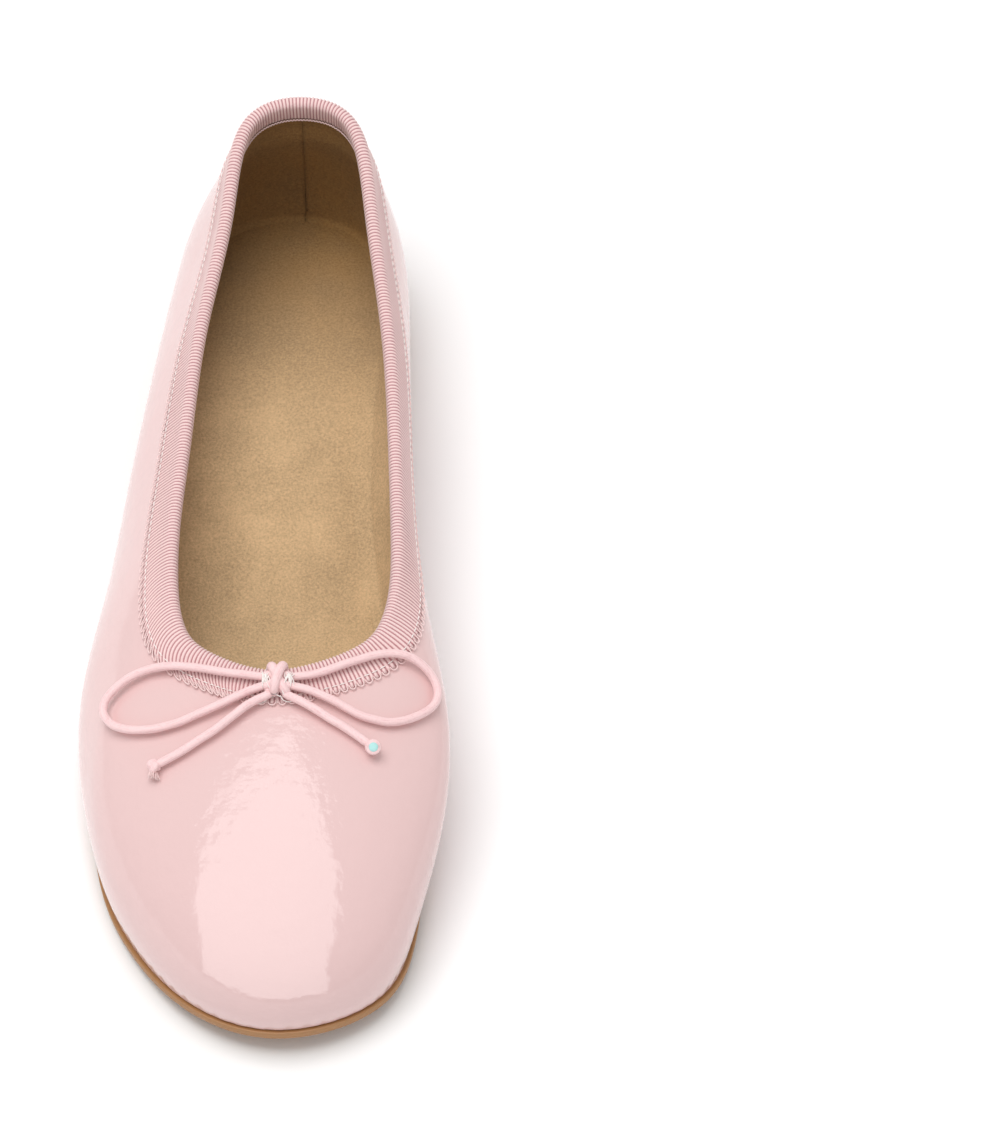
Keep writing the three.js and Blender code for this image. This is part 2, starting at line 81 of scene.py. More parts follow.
TREAD_FRONT, TREAD_BACK, HEEL_BREAST = -60, -12, 62
HEEL_RISE, TOE_SPRING, SPRING_POWER, HALF_LENGTH = 9, 5.2, 2.2, 119
HALF_STACK = 1.15                # from the upper's face to the middle of the wall, at the topline
SOLE_THICK, FEATHER = 3, 3.3     # over the sole's underside
SOLE_PROUD = 0.7                 # how far the sole's edge stands past the feather line
COVER = 8.1                      # the sock's underside, over the sole's
UPPER_THICK, UPPER_EDGE = 1.2, 1.4
STEP = 0.01                      # of a station, for slopes around the foot
UP = np.array([0.0, 0.0, 1.0])


def unit(vectors):
    """Vectors over their own lengths."""
    return vectors / np.linalg.norm(vectors, axis=-1, keepdims=True)


def spline_rows(rows):
    """Control rows c of the closed cubic B-spline through rows p: c = (6p - c before - c after) / 4."""
    control = rows.astype(float)
    for _ in range(60):
        control = (6 * rows - np.roll(control, 1, 0) - np.roll(control, -1, 0)) / 4
    return control


CONTROL = spline_rows(STATIONS)


def station(v):
    """The cubic B-spline of the station rows at v, with its four weights in t, the part past a row."""
    v = np.asarray(v, float) % COUNT
    i = np.floor(v).astype(int)
    t = v - i
    weights = [(1 - t) ** 3, 3 * t**3 - 6 * t**2 + 4, 1 + 3 * t + 3 * t**2 - 3 * t**3, t**3]
    return sum(w[..., None] / 6 * CONTROL[(i + j - 1) % COUNT] for j, w in enumerate(weights))


def ground(y):
    """The sole's underside: a smooth step up to the heel, and a power curve up to the toe."""
    up = np.clip((y - TREAD_BACK) / (HEEL_BREAST - TREAD_BACK), 0, 1)
    toe = np.maximum((TREAD_FRONT - y) / (HALF_LENGTH + TREAD_FRONT), 0)
    return HEEL_RISE * up * up * (3 - 2 * up) + TOE_SPRING * toe**SPRING_POWER


def plan_normal(v, k):
    """The outward direction in plan: the line's slope in x and y, a quarter turn round."""
    slope = station(v + STEP) - station(v - STEP)
    return unit(np.stack([slope[..., k + 1], -slope[..., k], 0 * slope[..., 0]], -1))


def wall_controls(v):
    """The four points of the wall's cubic Bezier at v: foot, swell, shoulder and top."""
    row = station(v)
    angle = np.radians(row[..., 7:8])
    side = plan_normal(v, 2)
    foot = np.stack([row[..., 0], row[..., 1], ground(row[..., 1]) + FEATHER], -1)
    swell = foot + plan_normal(v, 0) * row[..., 5:6] + UP * row[..., 6:7]
    top = row[..., 2:5] + (side * np.cos(angle) + UP * np.sin(angle)) * HALF_STACK
    shoulder = top + (side * np.sin(angle) - UP * np.cos(angle)) * row[..., 8:9]
    return foot, swell, shoulder, top


def wall_point(v, share):
    """The cubic Bezier through the four wall points, at a share from 0 at the sole to 1 at the top."""
    foot, swell, shoulder, top = wall_controls(v)
    t = np.asarray(share, float)[..., None]
    return (1 - t)**3 * foot + 3 * (1 - t)**2 * t * swell + 3 * (1 - t) * t**2 * shoulder + t**3 * top


def wall_slope(v, share):
    """The Bezier's derivative by its share."""
    foot, swell, shoulder, top = wall_controls(v)
    t = np.asarray(share, float)[..., None]
    return (1 - t)**2 * (swell - foot) + 2 * (1 - t) * t * (shoulder - swell) + t**2 * (top - shoulder)


def wall_normal(v, share):
    """Outward normal: the slope around the foot crossed with the slope up the wall."""
    round_slope = wall_point(v + STEP, share) - wall_point(v - STEP, share)
    return unit(np.cross(round_slope, wall_slope(v, share)))


TABLE_V, TABLE_S = 1600, 81


def arc_tables():
    """The wall's height at each v, and the share at even fractions of it, by linear interpolation."""
    v = np.arange(TABLE_V) * COUNT / TABLE_V
    share = np.linspace(0, 1, TABLE_S)
    points = wall_point(*np.broadcast_arrays(v[:, None], share[None]))
    lengths = np.linalg.norm(np.diff(points, axis=1), axis=-1)
    along = np.concatenate([0 * lengths[:, :1], np.cumsum(lengths, 1)], 1)
    heights = along[:, -1]
    part = along / heights[:, None]
    above = np.clip((part[:, :, None] < share).sum(1), 1, TABLE_S - 1)
    low = np.take_along_axis(part, above - 1, 1)
    high = np.take_along_axis(part, above, 1)
    return heights, (above - 1 + (share - low) / (high - low)) / (TABLE_S - 1)


HEIGHTS, SHARES = arc_tables()


def height(v):
    """The wall's length from the sole to the topline at v, between the table's rows."""
    x = (np.asarray(v, float) % COUNT) * TABLE_V / COUNT
    i = np.floor(x).astype(int) % TABLE_V
    t = x - np.floor(x)
    return HEIGHTS[i] * (1 - t) + HEIGHTS[(i + 1) % TABLE_V] * t


def share_at(v, down):
    """The Bezier's share at a distance down from the topline, between the table's rows and columns."""
    v, down = np.broadcast_arrays(np.asarray(v, float), np.asarray(down, float))
    x = (v % COUNT) * TABLE_V / COUNT
    i = np.floor(x).astype(int) % TABLE_V
    s = x - np.floor(x)
    y = np.clip(1 - down / height(v), 0, 1) * (TABLE_S - 1)
    j = np.minimum(np.floor(y).astype(int), TABLE_S - 2)
    t = y - j
    here = SHARES[i, j] * (1 - t) + SHARES[i, j + 1] * t
    after = SHARES[(i + 1) % TABLE_V, j] * (1 - t) + SHARES[(i + 1) % TABLE_V, j + 1] * t
    return here * (1 - s) + after * s


def skin(v, down, depth):
    """A point of the wall: down along it from the topline, then depth in along its normal."""
    v, down, depth = np.broadcast_arrays(*(np.asarray(a, float) for a in (v, down, depth)))
    share = share_at(v, down)
    return wall_point(v, share) - depth[..., None] * wall_normal(v, share)


def feather(v, inset, lift=0.0):
    """The feather line, set in by inset along its plan normal, lift above the sole's underside."""
    v, inset, lift = np.broadcast_arrays(*(np.asarray(a, float) for a in (v, inset, lift)))
    row = station(v)
    point = np.stack([row[..., 0], row[..., 1], 0 * row[..., 0]], -1)
    point = point - inset[..., None] * plan_normal(v, 0)
    point[..., 2] = ground(point[..., 1]) + lift
    return point


def midline():
    """The middle of the feather outline against y, from its outer and inner sides."""
    v = np.linspace(0, TOE, 400)
    outer, inner = station(v)[:, :2], station(COUNT - v)[:, :2]
    y = np.linspace(outer[-1, 1], outer[0, 1], 200)
    sides = [np.interp(y, side[::-1, 1], side[::-1, 0]) for side in (outer, inner)]
    return y, (sides[0] + sides[1]) / 2


MID_Y, MID_X = midline()


def drawn_in(outline, scale, lift):
    """An outline shrunk by scale towards the foot's middle line, at a lift over the sole's underside."""
    y = outline[..., 1] * scale
    x = np.interp(y, MID_Y, MID_X) + (outline[..., 0] - np.interp(outline[..., 1], MID_Y, MID_X)) * scale
    return np.stack([x, y, ground(y) + lift], -1)


def smoothstep(x, low, high):
    """0 below low, 1 above high, and 3t^2 - 2t^3 between."""
    t = np.clip((x - low) / (high - low), 0, 1)
    return t * t * (3 - 2 * t)


def evenly(start, end, count):
    """count + 1 values from start to end, which may be arrays, along a new last axis."""
    t = np.linspace(0, 1, count + 1)
    return np.asarray(start, float)[..., None] * (1 - t) + np.asarray(end, float)[..., None] * t


# ---------------- meshes from rows of points
class Shape:
    """Surfaces gathered as whole arrays of points and faces, and put into one mesh."""

    def __init__(self):
        self.points, self.faces, self.uvs, self.count = [], [], [], 0

    def add(self, points, ends, uv=None):
        """Closes rows of points into surfaces. points is (rows, round, 3), or has a first axis of
        like surfaces. The points of a row go round and join up. ends is "joined" where the last row
        meets the first, "poles" where each end fans in to its middle, and "walls" where the rows
        go up one face of a thin wall and down the other, so that an end is closed across it."""
        points = points if points.ndim == 4 else points[None]
        many, rows, around = points.shape[:3]
        index = np.arange(many * rows * around).reshape(many, rows, around) + self.count
        if uv is None:
            uv = np.stack(np.meshgrid(np.arange(rows + 1), np.arange(around + 1), indexing="ij"), -1)
        uv = np.broadcast_to(uv, (many, rows + 1, around + 1, 2)).astype(float)
        grid = np.concatenate([index, index[:, :1]], 1) if ends == "joined" else index
        grid = np.concatenate([grid, grid[:, :, :1]], 2)
        spots = uv[:, :grid.shape[1]]
        self._face(*([a[:, :-1, :-1], a[:, 1:, :-1], a[:, 1:, 1:], a[:, :-1, 1:]] for a in (grid, spots)))
        self.points.append(points.reshape(-1, 3))
        self.count += index.size
        for row, turn in ((0, 1), (rows - 1, -1)):
            if ends == "poles":
                self.points.append(points[:, row].mean(1))
                pole = np.arange(many) + self.count
                self.count += many
                pole = np.repeat(pole[:, None], around, 1)
                middle = np.repeat(spots[:, row].mean(1)[:, None], around, 1)
                corners = [grid[:, row, :-1], grid[:, row, 1:], pole]
                places = [spots[:, row, :-1], spots[:, row, 1:], middle]
                self._face(corners[::turn], places[::turn])
            if ends == "walls":
                j = np.arange(around // 2 - 1)
                back = around - 1 - j
                order = [j, j + 1, back - 1, back][::turn]
                self._face([index[:, row][:, k] for k in order], [spots[:, row][:, k] for k in order])
        return self

    def _face(self, corners, places):
        """Faces from whole arrays of their corners' indices, with their corners' places in the UV."""
        self.faces.append(np.stack(corners, -1).reshape(-1, len(corners)))
        self.uvs.append(np.stack(places, -2).reshape(-1, len(corners), 2))

    def volume(self):
        """The solid's signed volume: a third of each face's area times its height, summed."""
        points = np.concatenate(self.points)
        total = 0.0
        for faces in self.faces:
            a, b, c = (points[faces[:, k]] for k in (0, 1, 2))
            total += (np.cross(a, b) * c).sum()
            if faces.shape[1] == 4:
                total += (np.cross(a, c) * points[faces[:, 3]]).sum()
        return total

    def piece(self, name, finish, slot, *nodes, body=SHOE_BODY):
        """The finished piece: its faces turned outwards, its place in its mesh, riding on a body."""
        turn = 1 if self.volume() > 0 else -1
        mesh = bpy.data.meshes.new(name)
        faces = [face for block in self.faces for face in block[:, ::turn].tolist()]
        mesh.from_pydata((np.concatenate(self.points) * MM).tolist(), [], faces)
        layer = mesh.uv_layers.new(name="UVMap")
        places = np.concatenate([block[:, ::turn].reshape(-1, 2) for block in self.uvs])
        layer.data.foreach_set("uv", places.ravel())
        mesh.polygons.foreach_set("use_smooth", np.ones(len(mesh.polygons), bool))
        mesh.materials.append(paint(finish))
        mesh.update()
        obj = bpy.data.objects.new(name, mesh)
        bpy.context.scene.collection.objects.link(obj)
        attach(obj, body)
        if nodes:
            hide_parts(*nodes)
        return obj


def travelled(path):
    """The length from a path's start to each of its points."""
    return np.concatenate([[0], np.cumsum(np.linalg.norm(np.diff(path, axis=0), axis=1))])


def at_lengths(lengths, along, path):
    """The points of a path at given lengths along it, between its own points."""
    return np.stack([np.interp(lengths, along, column) for column in path.T], -1)


def curve_through(points, spacing):
    """A Catmull-Rom curve through the points, at even steps of about the spacing along it."""
    points = np.asarray(points, float)
    ends = [2 * points[:1] - points[1:2], points, 2 * points[-1:] - points[-2:-1]]
    p = np.concatenate(ends)
    t = np.linspace(0, 1, 24, endpoint=False)[:, None, None]
    a, b, c, d = p[:-3], p[1:-2], p[2:-1], p[3:]
    fine = (2 * b + (c - a) * t + (2 * a - 5 * b + 4 * c - d) * t**2 + (3 * b - a - 3 * c + d) * t**3) / 2
    fine = np.concatenate([fine.transpose(1, 0, 2).reshape(-1, 3), points[-1:]])
    along = travelled(fine)
    even = np.linspace(0, along[-1], max(int(round(along[-1] / spacing)), 4) + 1)
    return at_lengths(even, along, fine)


def tube(paths, radius, sides, up=UP):
    """Rings of points round paths (..., rows, 3): at angle a, the path's point plus radius times
    cos a across and sin a up, both square to the path. radius is a number or (..., rows[, sides])."""
    ahead = unit(np.gradient(paths, axis=-2))
    across = unit(np.cross(ahead, up))
    above = np.cross(across, ahead)
    angle = np.arange(sides) * 2 * np.pi / sides
    radius = np.asarray(radius, float)
    radius = radius if radius.ndim >= paths.ndim else radius[..., None]
    ring = np.cos(angle)[:, None] * across[..., None, :] + np.sin(angle)[:, None] * above[..., None, :]
    return paths[..., None, :] + np.broadcast_to(radius, ring.shape[:-1])[..., None] * ring


def rounded_ends(rows, rise):
    """A radius share along rows: a quarter circle up from each end over rise rows."""
    k = np.minimum(np.arange(rows), np.arange(rows)[::-1])
    t = np.clip((k + 0.35) / rise, 0, 1)
    return np.sqrt(1 - (1 - t) ** 2)


# ---------------- finishes
class Wire:
    """A shader node's output. The usual operators join it to others by Math nodes."""

    def __init__(self, paint, socket):
        self.paint, self.socket = paint, socket

    def math(self, operation, *values):
        return self.paint.node("ShaderNodeMath", {"operation": operation}, dict(enumerate(values)))

    def __add__(self, other):
        return self.math("ADD", self, other)

    def __sub__(self, other):
        return self.math("SUBTRACT", self, other)

    def __mul__(self, other):
        return self.math("MULTIPLY", self, other)

    def sine(self):
        return self.math("SINE", self)

    def above(self, low, high):
        """0 below low and 1 above high, with a smooth step between."""
        ramp = {"interpolation_type": "SMOOTHSTEP"}
        return self.paint.node("ShaderNodeMapRange", ramp, {"Value": self, 1: low, 2: high})

    __radd__, __rmul__ = __add__, __mul__


class Paint:
    """A procedural material: one Principled shader and the nodes that feed it."""

    def __init__(self, name):
        self.material = bpy.data.materials.new(name)
        self.material.use_nodes = True
        self.tree = self.material.node_tree
        self.shader = self.tree.nodes["Principled BSDF"]

    def put(self, node, inputs):
        for key, value in inputs.items():
            socket = node.inputs[key]
            if isinstance(value, Wire):
                self.tree.links.new(value.socket, socket)
            else:
                socket.default_value = value

    def node(self, kind, settings, inputs, output=0):
        made = self.tree.nodes.new(kind)
        for key, value in settings.items():
            setattr(made, key, value)
        self.put(made, inputs)
        return Wire(self, made.outputs[output])

    def place(self, stretch=(1, 1, 1), source="Object"):
        """The piece's own coordinates in metres, or its UV map, times a stretch."""
        spot = self.node("ShaderNodeTexCoord", {}, {}, source)
        return self.node("ShaderNodeMapping", {}, {"Vector": spot, "Scale": stretch})

    def axis(self, k, source="Object"):
        spot = self.node("ShaderNodeTexCoord", {}, {}, source)
        return self.node("ShaderNodeSeparateXYZ", {}, {0: spot}, k)

    def noise(self, size, detail=2.0, stretch=(1, 1, 1), source="Object", rough=0.5):
        """Soft noise whose patches are about size across, in the coordinates' own unit."""
        return self.node("ShaderNodeTexNoise", {}, {
            "Vector": self.place(stretch, source), "Scale": 1 / size, "Detail": detail, "Roughness": rough,
        })

    def mix(self, share, a, b):
        """The colour a share of the way from a to b."""
        a, b = ((*c, 1) if isinstance(c, tuple) else c for c in (a, b))
        return self.node("ShaderNodeMix", {"data_type": "RGBA"}, {0: share, 6: a, 7: b}, 2)

    def bump(self, relief, distance):
        """A normal pushed about by a relief, distance metres high."""
        return self.node("ShaderNodeBump", {}, {"Height": relief, "Distance": distance})

    def done(self, inputs):
        """The finished material, with what the shader's own inputs take."""
        self.put(self.shader, inputs)
        return self.material


def tint(colour, share):
    """A colour with each part times a share."""
    return tuple(min(1.0, c * share) for c in colour)


def patent_paint(colour):
    """Lacquered leather: a clear hard gloss over pale pink, just uneven enough to bend reflections."""
    p = Paint("patent")
    base = p.mix(p.noise(0.03, 3.0), tint(colour, 0.98), tint(colour, 1.015))
    relief = p.noise(0.0035, 3.0) + p.noise(0.011, 2.0) * 1.6
    rough = 0.025 + p.noise(0.004, 3.0) * 0.03
    return p.done({
        "Base Color": base, "Roughness": rough, "Normal": p.bump(relief, 0.00015),
        "Coat Weight": 0.4, "Coat Roughness": 0.02, "IOR": 1.48,
    })


def ribbon_paint(ridge, groove):
    """Grosgrain: pale ribs with painted shade in the grooves between, a rib to each unit of U, and fine
    yarns.
    """
    p = Paint("grosgrain")
    phase = p.axis(0, "UV")
    wave = (phase * (2 * math.pi)).sine() * 0.5 + 0.5
    yarn = p.noise(1.0, 2.0, (1.2, 7.0, 1), "UV")
    # painted shade: the groove colour fills the troughs of the rib sine and the ridge colour its crests; the
    # yarn noise adds random tone
    share = (wave * 0.8 + yarn * 0.4 - 0.05).above(0.05, 0.72)
    base = p.mix(share, groove, ridge)
    return p.done({
        "Base Color": base, "Roughness": 0.62 + yarn * 0.2, "Normal": p.bump(yarn, 0.00012),
        "Sheen Weight": 0.15, "Sheen Roughness": 0.4,
    })


def cord_paint(light, dark):
    """Knitted cord: fine lengthwise stitches in two near tones, in U along it and V round it."""
    p = Paint("knitted_cord")
    streak = p.noise(1.0, 3.0, (0.25, 22.0, 1), "UV")
    fleck = p.noise(0.0006, 2.0)
    base = p.mix((streak * 0.7 + fleck * 0.4).above(0.25, 0.62), dark, light)
    return p.done({
        "Base Color": base, "Roughness": 0.6 + fleck * 0.2,
        "Normal": p.bump(streak * 0.8 + fleck * 0.4, 0.0001), "Sheen Weight": 0.3, "Sheen Roughness": 0.5,
    })


def suede_paint(light, dark):
    """Brushed suede: a fine nap over slow clouds, from a pale tread to a heel darkened by painted shade."""
    p = Paint("suede")
    nap = p.noise(0.0006, 4.0, rough=0.75)
    cloud = p.noise(0.014, 3.0)
    # painted shade: the nap darkens along y from the tread to the heel, the shade deep in the heel cup
    heel = (p.axis(1) + cloud * 0.02 - 0.01).above(0.04, 0.132)
    tone = p.mix(heel, light, dark)
    shade = p.mix(heel, tint(light, 0.5), tint(dark, 0.5))
    base = p.mix((nap * 0.8 + cloud * 0.35).above(0.28, 0.82), shade, tone)
    return p.done({
        "Base Color": base, "Roughness": 0.95, "Normal": p.bump(nap + cloud * 0.3, 0.00025),
        "Specular IOR Level": 0.15,
    })


def grained_paint(name, colour, size, contrast, roughness, relief, uniform=()):
    """A plain grain of one colour: noise at one size and at six times that size."""
    p = Paint(name)
    grain = p.noise(size, 4.0, rough=0.6)
    cloud = p.noise(size * 6, 2.0)
    base = p.mix(grain * 0.6 + cloud * 0.4, tint(colour, 1 - contrast), tint(colour, 1 + contrast))
    return p.done({
        "Base Color": base, "Roughness": roughness + grain * 0.15,
        "Normal": p.bump(grain, relief), **dict(uniform),
    })


def stacked_paint(colour):
    """The heel's built-up board: thin level layers over a grain."""
    p = Paint("heel_stack")
    layer = (p.axis(2) * (2 * math.pi / 0.0021)).sine() * 0.5 + 0.5
    grain = p.noise(0.0008, 4.0, (1, 1, 3))
    base = p.mix(layer * 0.5 + grain * 0.5, tint(colour, 0.72), tint(colour, 1.12))
    return p.done({
        "Base Color": base, "Roughness": 0.42 + grain * 0.2,
        "Normal": p.bump(layer * 0.3 + grain, 0.0001),
    })


# ---------------- the bow's cord, in mm
ROUTES = {
    "loop_lateral": [
        (1.1, -45.6, 44.4), (-3.5, -44.8, 44.3), (-8.5, -44, 44.2), (-13.5, -42.8, 43.9),
        (-19, -41.6, 43.1), (-23, -41.1, 42.1), (-27, -41.2, 40.6), (-31, -42.3, 38.9),
        (-34, -44, 37.2), (-36.2, -46, 35.4), (-36.8, -48.5, 34.6), (-36, -51, 34.9),
        (-34, -53.6, 35.8), (-30.5, -55.6, 37.1), (-26, -56.6, 38.5), (-22.5, -56.6, 39.5),
        (-18, -55.8, 40.7), (-14, -54.4, 41.8), (-10, -52.9, 42.7), (-6.5, -51.3, 43.3),
        (-2.5, -49.4, 43.8), (1.1, -48, 44.1)],
    "loop_medial": [
        (8.2, -45.6, 44.4), (12, -45, 44.3), (15.6, -43.9, 44.2), (20, -41.9, 44.2),
        (24.4, -40, 43.9), (27.5, -38.7, 43.5), (30.6, -37.9, 43), (33.4, -37.7, 42.4),
        (36.3, -38, 41.1), (39, -39.2, 39.3), (41.2, -41.2, 37.2), (42.2, -44.2, 36.2),
        (41.6, -47.5, 36.2), (39.4, -50.5, 37), (36.2, -53, 38), (33.5, -54.4, 38.8),
        (30.5, -55.2, 39.6), (27.5, -55.1, 40.5), (24.4, -54.5, 41.2), (21.3, -53.2, 42.1),
        (18.5, -51.8, 42.9), (15.3, -50.3, 43.5), (12, -49, 43.9), (8.2, -48, 44.1)],
    "tail_lateral": [
        (1.4, -50.8, 43.7), (-0.7, -51.9, 43.6), (-2.8, -53.3, 43.4), (-5, -55.1, 43),
        (-7.6, -57.2, 42.4), (-10.6, -59.4, 41.6), (-13.8, -61.3, 40.8), (-17, -63.2, 39.8),
        (-20, -64.6, 38.8), (-22.4, -65.6, 38)],
    "tail_medial": [
        (7.9, -50.8, 43.7), (10.5, -52.1, 43.5), (13.6, -53.9, 43), (16.6, -55.8, 42.4),
        (19.8, -57.6, 41.7), (22.7, -59.4, 41), (25.2, -61.2, 40.5)],
}
BODIES = {
    "loop_lateral": "lateral_loop", "loop_medial": "medial_loop",
    "tail_lateral": "lateral_tail", "tail_medial": "medial_tail",
}
KNOT_DOWN, KNOT_OUT = 3.0, 3.05  # the knot's middle, down from the topline and out from the wall
WRAP = 1.12                      # how much thicker the knot's two turns are than the cord
EXTEND = 2.2                     # how far a cord's end goes on into the knot
CORD_SIDES, CORD_STEP, FLUTES = 18, 0.45, 9
BALL_RADIUS, BALL_HEIGHT = 1.9, 1.35
RIM = np.array([(1.8, 1.22), (1.66, 1.3), (1.42, 1.26), (1.2, 1.05), (0.7, 1.0)])  # radius, height
CORE_RADIUS, CORE_FOOT, CORE_TOP = 1.15, 0.7, 1.45
FRAY_YARNS, YARN_RADIUS = 60, 0.11
SIDEWAYS = np.array([1.0, 0, 0])


def knot_axes():
    """The knot's middle on the ribbon at the throat, and its directions: right, forward and out."""
    v = TOE + 0.07
    out = unit(skin(v, KNOT_DOWN, -1) - skin(v, KNOT_DOWN, 0))
    forward = -unit(np.cross(out, SIDEWAYS))
    return skin(v, KNOT_DOWN, -KNOT_OUT), unit(np.cross(out, forward)), forward, out


def at_knot(points):
    """Points given as right, forward and out of the knot's middle, put in the foot's frame."""
    middle, right, forward, out = knot_axes()
    points = np.asarray(points, float)
    return middle + points[..., :1] * right + points[..., 1:2] * forward + points[..., 2:] * out


def cord_uv(rows, around, step):
    """Places in the UV for rows of a tube: step along it for each row, and turns round it."""
    places = np.meshgrid(np.arange(rows + 1) * step, np.linspace(0, 1, around + 1), indexing="ij")
    return np.stack(places, -1)


def cord_shape(path, radius):
    """A cord: a tube round a path whose radius has shallow flutes, a cosine of the angle round it
    and a slow twist along it, with rounded ends: its points, how its ends close, and its UV, which
    is millimetres along and turns round."""
    rows = len(path)
    step = np.linalg.norm(np.diff(path, axis=0), axis=1).sum() / (rows - 1)
    along = np.arange(rows)[:, None] * step
    angle = np.arange(CORD_SIDES)[None] * 2 * np.pi / CORD_SIDES
    flutes = 1 + 0.025 * np.cos(FLUTES * angle + along * 0.35)
    points = tube(path, radius * rounded_ends(rows, 3)[:, None] * flutes, CORD_SIDES)
    return points, "poles", cord_uv(rows, CORD_SIDES, step)


def bow_cord(name, node, radius, past):
    """A stretch of the bow on a body of its own: its piece, and the line that it follows, past its end by
    past mm.
    """
    route = np.array(ROUTES[name], float)
    start = route[0] - unit(route[1] - route[0]) * EXTEND
    finish = route[-1] + unit(route[-1] - route[-2]) * past
    path = curve_through(np.concatenate([[start], route, [finish]]), CORD_STEP)
    return Shape().add(*cord_shape(path, radius)).piece(name, "cord", "cord", node, body=BODIES[name]), path


def overhand(route):
    """A tight overhand knot past a route's end: a trefoil line, 1.15 mm wide, stretched along it.
    Its point at t is (sin t + 2 sin 2t, cos t - 2 cos 2t, -sin 3t) scaled to the knot."""
    ahead = unit(route[-1] - route[-2])
    side = unit(np.cross(ahead, UP))
    over = np.cross(side, ahead)
    t = np.linspace(0, 2 * np.pi, 96, endpoint=False)
    across = (np.sin(t) + 2 * np.sin(2 * t)) * 0.33
    above = (np.cos(t) - 2 * np.cos(2 * t)) * 0.33
    along = -np.sin(3 * t) * 0.62
    middle = route[-1] + ahead * 1.9
    path = middle + across[:, None] * side + above[:, None] * over + along[:, None] * ahead
    return path, ahead


def closed_tube(path, radius, sides):
    """Rings round a closed path, its slope taken across the join."""
    ahead = unit(np.roll(path, -1, 0) - np.roll(path, 1, 0))
    across = unit(np.cross(ahead, unit(path - path.mean(0)) + 1e-3))
    above = np.cross(across, ahead)
    angle = np.arange(sides)[:, None] * 2 * np.pi / sides
    return path[:, None] + radius * (np.cos(angle) * across[:, None] + np.sin(angle) * above[:, None])


# ---------------- the ribbon's own coordinates
RIBBON_FACE = 0.5                # the ribbon's face over the upper
BEAD = HALF_STACK + RIBBON_FACE  # the radius of its fold
BEAD_HALF = BEAD * math.pi / 2
SKEW = 4.0                       # how far forward the ribs lean at the outer edge, on the outer side


def topline_frame(v):
    """At v on the topline: its point, the way out, the way up, and its speed in mm a station."""
    top = skin(v, 0, HALF_STACK)
    out = unit(skin(v, 0, HALF_STACK - 1) - top)
    up = unit(top - skin(v, 0.5, HALF_STACK))
    slope = (skin(v + STEP, 0, HALF_STACK) - skin(v - STEP, 0, HALF_STACK)) / (2 * STEP)
    speed = np.linalg.norm(slope, axis=-1)
    cosine = (-up * slope).sum(-1) / speed
    return top, out, up, speed, cosine


def ribbon_point(v, s, lift, width):
    """A point of the ribbon: s from the middle of its fold, positive down the outside. Within the
    fold it turns round the topline. Past it, it runs square to the topline down the wall, which is
    s over the sine of the stations' slant down and s times its cotangent back along the topline."""
    v, s, lift = np.broadcast_arrays(*(np.asarray(a, float) for a in (v, s, lift)))
    top, out, up, speed, cosine = topline_frame(v)
    sine = np.sqrt(1 - cosine**2)
    outside = np.maximum(s - BEAD_HALF, 0)
    inside = np.maximum(-s - BEAD_HALF, 0)
    away = np.maximum(outside, inside)
    turn = v % COUNT
    front = smoothstep(turn, 4.6, 6.4) * (1 - smoothstep(turn, 8.6, 9.8))
    skew = SKEW * front * (outside / width) ** 2
    there = v - away * cosine / sine / speed + skew / speed
    down = away / sine
    outer = skin(there, down, -(RIBBON_FACE + lift))
    inner = skin(there, down, 2 * HALF_STACK + RIBBON_FACE * (1 - 0.5 * smoothstep(inside, 1, 6)) + lift)
    angle = np.clip(s / BEAD, -np.pi / 2, np.pi / 2)[..., None]
    fold = top + (BEAD + lift[..., None]) * (np.sin(angle) * out + np.cos(angle) * up)
    return np.where(outside[..., None] > 0, outer, np.where(inside[..., None] > 0, inner, fold))


def topline_steps(count):
    """count values of v, evenly spaced along the topline."""
    v = np.linspace(0, COUNT, 4001)
    along = travelled(skin(v, 0, HALF_STACK))
    return np.interp(np.arange(count) * along[-1] / count, along, v), along[-1]


# ---------------- what a user would change
def colour_field(name, text, value):
    return FloatVectorProperty(
        name=name, description=text, subtype="COLOR", size=3, min=0, max=1, default=value)


def size_field(name, text, value, low, high):
    return FloatProperty(
        name=name, description=text, default=value, min=low, max=high, unit="LENGTH", precision=5)


class SlipperSizes(PropertyGroup):
    """Sizes of the pieces that show."""

    ribbon_width: size_field("Ribbon outside", "How far it comes down the outside", 0.0079, 0.006, 0.012)
    ribbon_inside: size_field("Ribbon inside", "How far it comes down the inside", 0.0048, 0.003, 0.007)
    rib_pitch: size_field("Rib pitch", "Distance from one rib to the next", 0.0009, 0.0008, 0.002)
    rib_height: size_field("Rib height", "Height of the ribbon's ribs", 0.00016, 0.0, 0.0004)
    cord_radius: size_field("Cord radius", "Radius of the bow's cord", 0.001, 0.0006, 0.0014)
    thread_radius: size_field("Thread radius", "Radius of the sewing thread", 0.00013, 0.00005, 0.0003)


class SlipperColours(PropertyGroup):
    """Colours of the pieces that show."""

    patent: colour_field("Patent", "The upper's lacquer", (0.75, 0.525, 0.515))
    rib: colour_field("Rib", "The ribbon's ridges", (0.86, 0.64, 0.625))
    # painted shade: the groove colour is the shade between the ribs, painted into the ribbon
    groove: colour_field("Groove", "The ribbon's grooves", (0.42, 0.165, 0.18))
    cord: colour_field("Cord", "The bow's cord", (0.88, 0.62, 0.62))
    cord_shade: colour_field("Cord shade", "The cord's darker stitches", (0.74, 0.45, 0.46))
    core: colour_field("Core", "The elastic core at the cord's cut end", (0.40, 0.72, 0.70))
    suede: colour_field("Suede", "The lining's nap at the tread", (0.76, 0.53, 0.30))
    # painted shade: the lining's colour deep in the heel cup, darkened as shade
    suede_shade: colour_field("Suede shade", "The lining's nap at the heel", (0.29, 0.15, 0.04))
    sole: colour_field("Sole", "The sole and its edge", (0.38, 0.18, 0.06))
    thread: colour_field("Thread", "The sewing thread", (0.92, 0.85, 0.82))
    floor: colour_field("Floor", "The studio floor", (0.95, 0.95, 0.95))


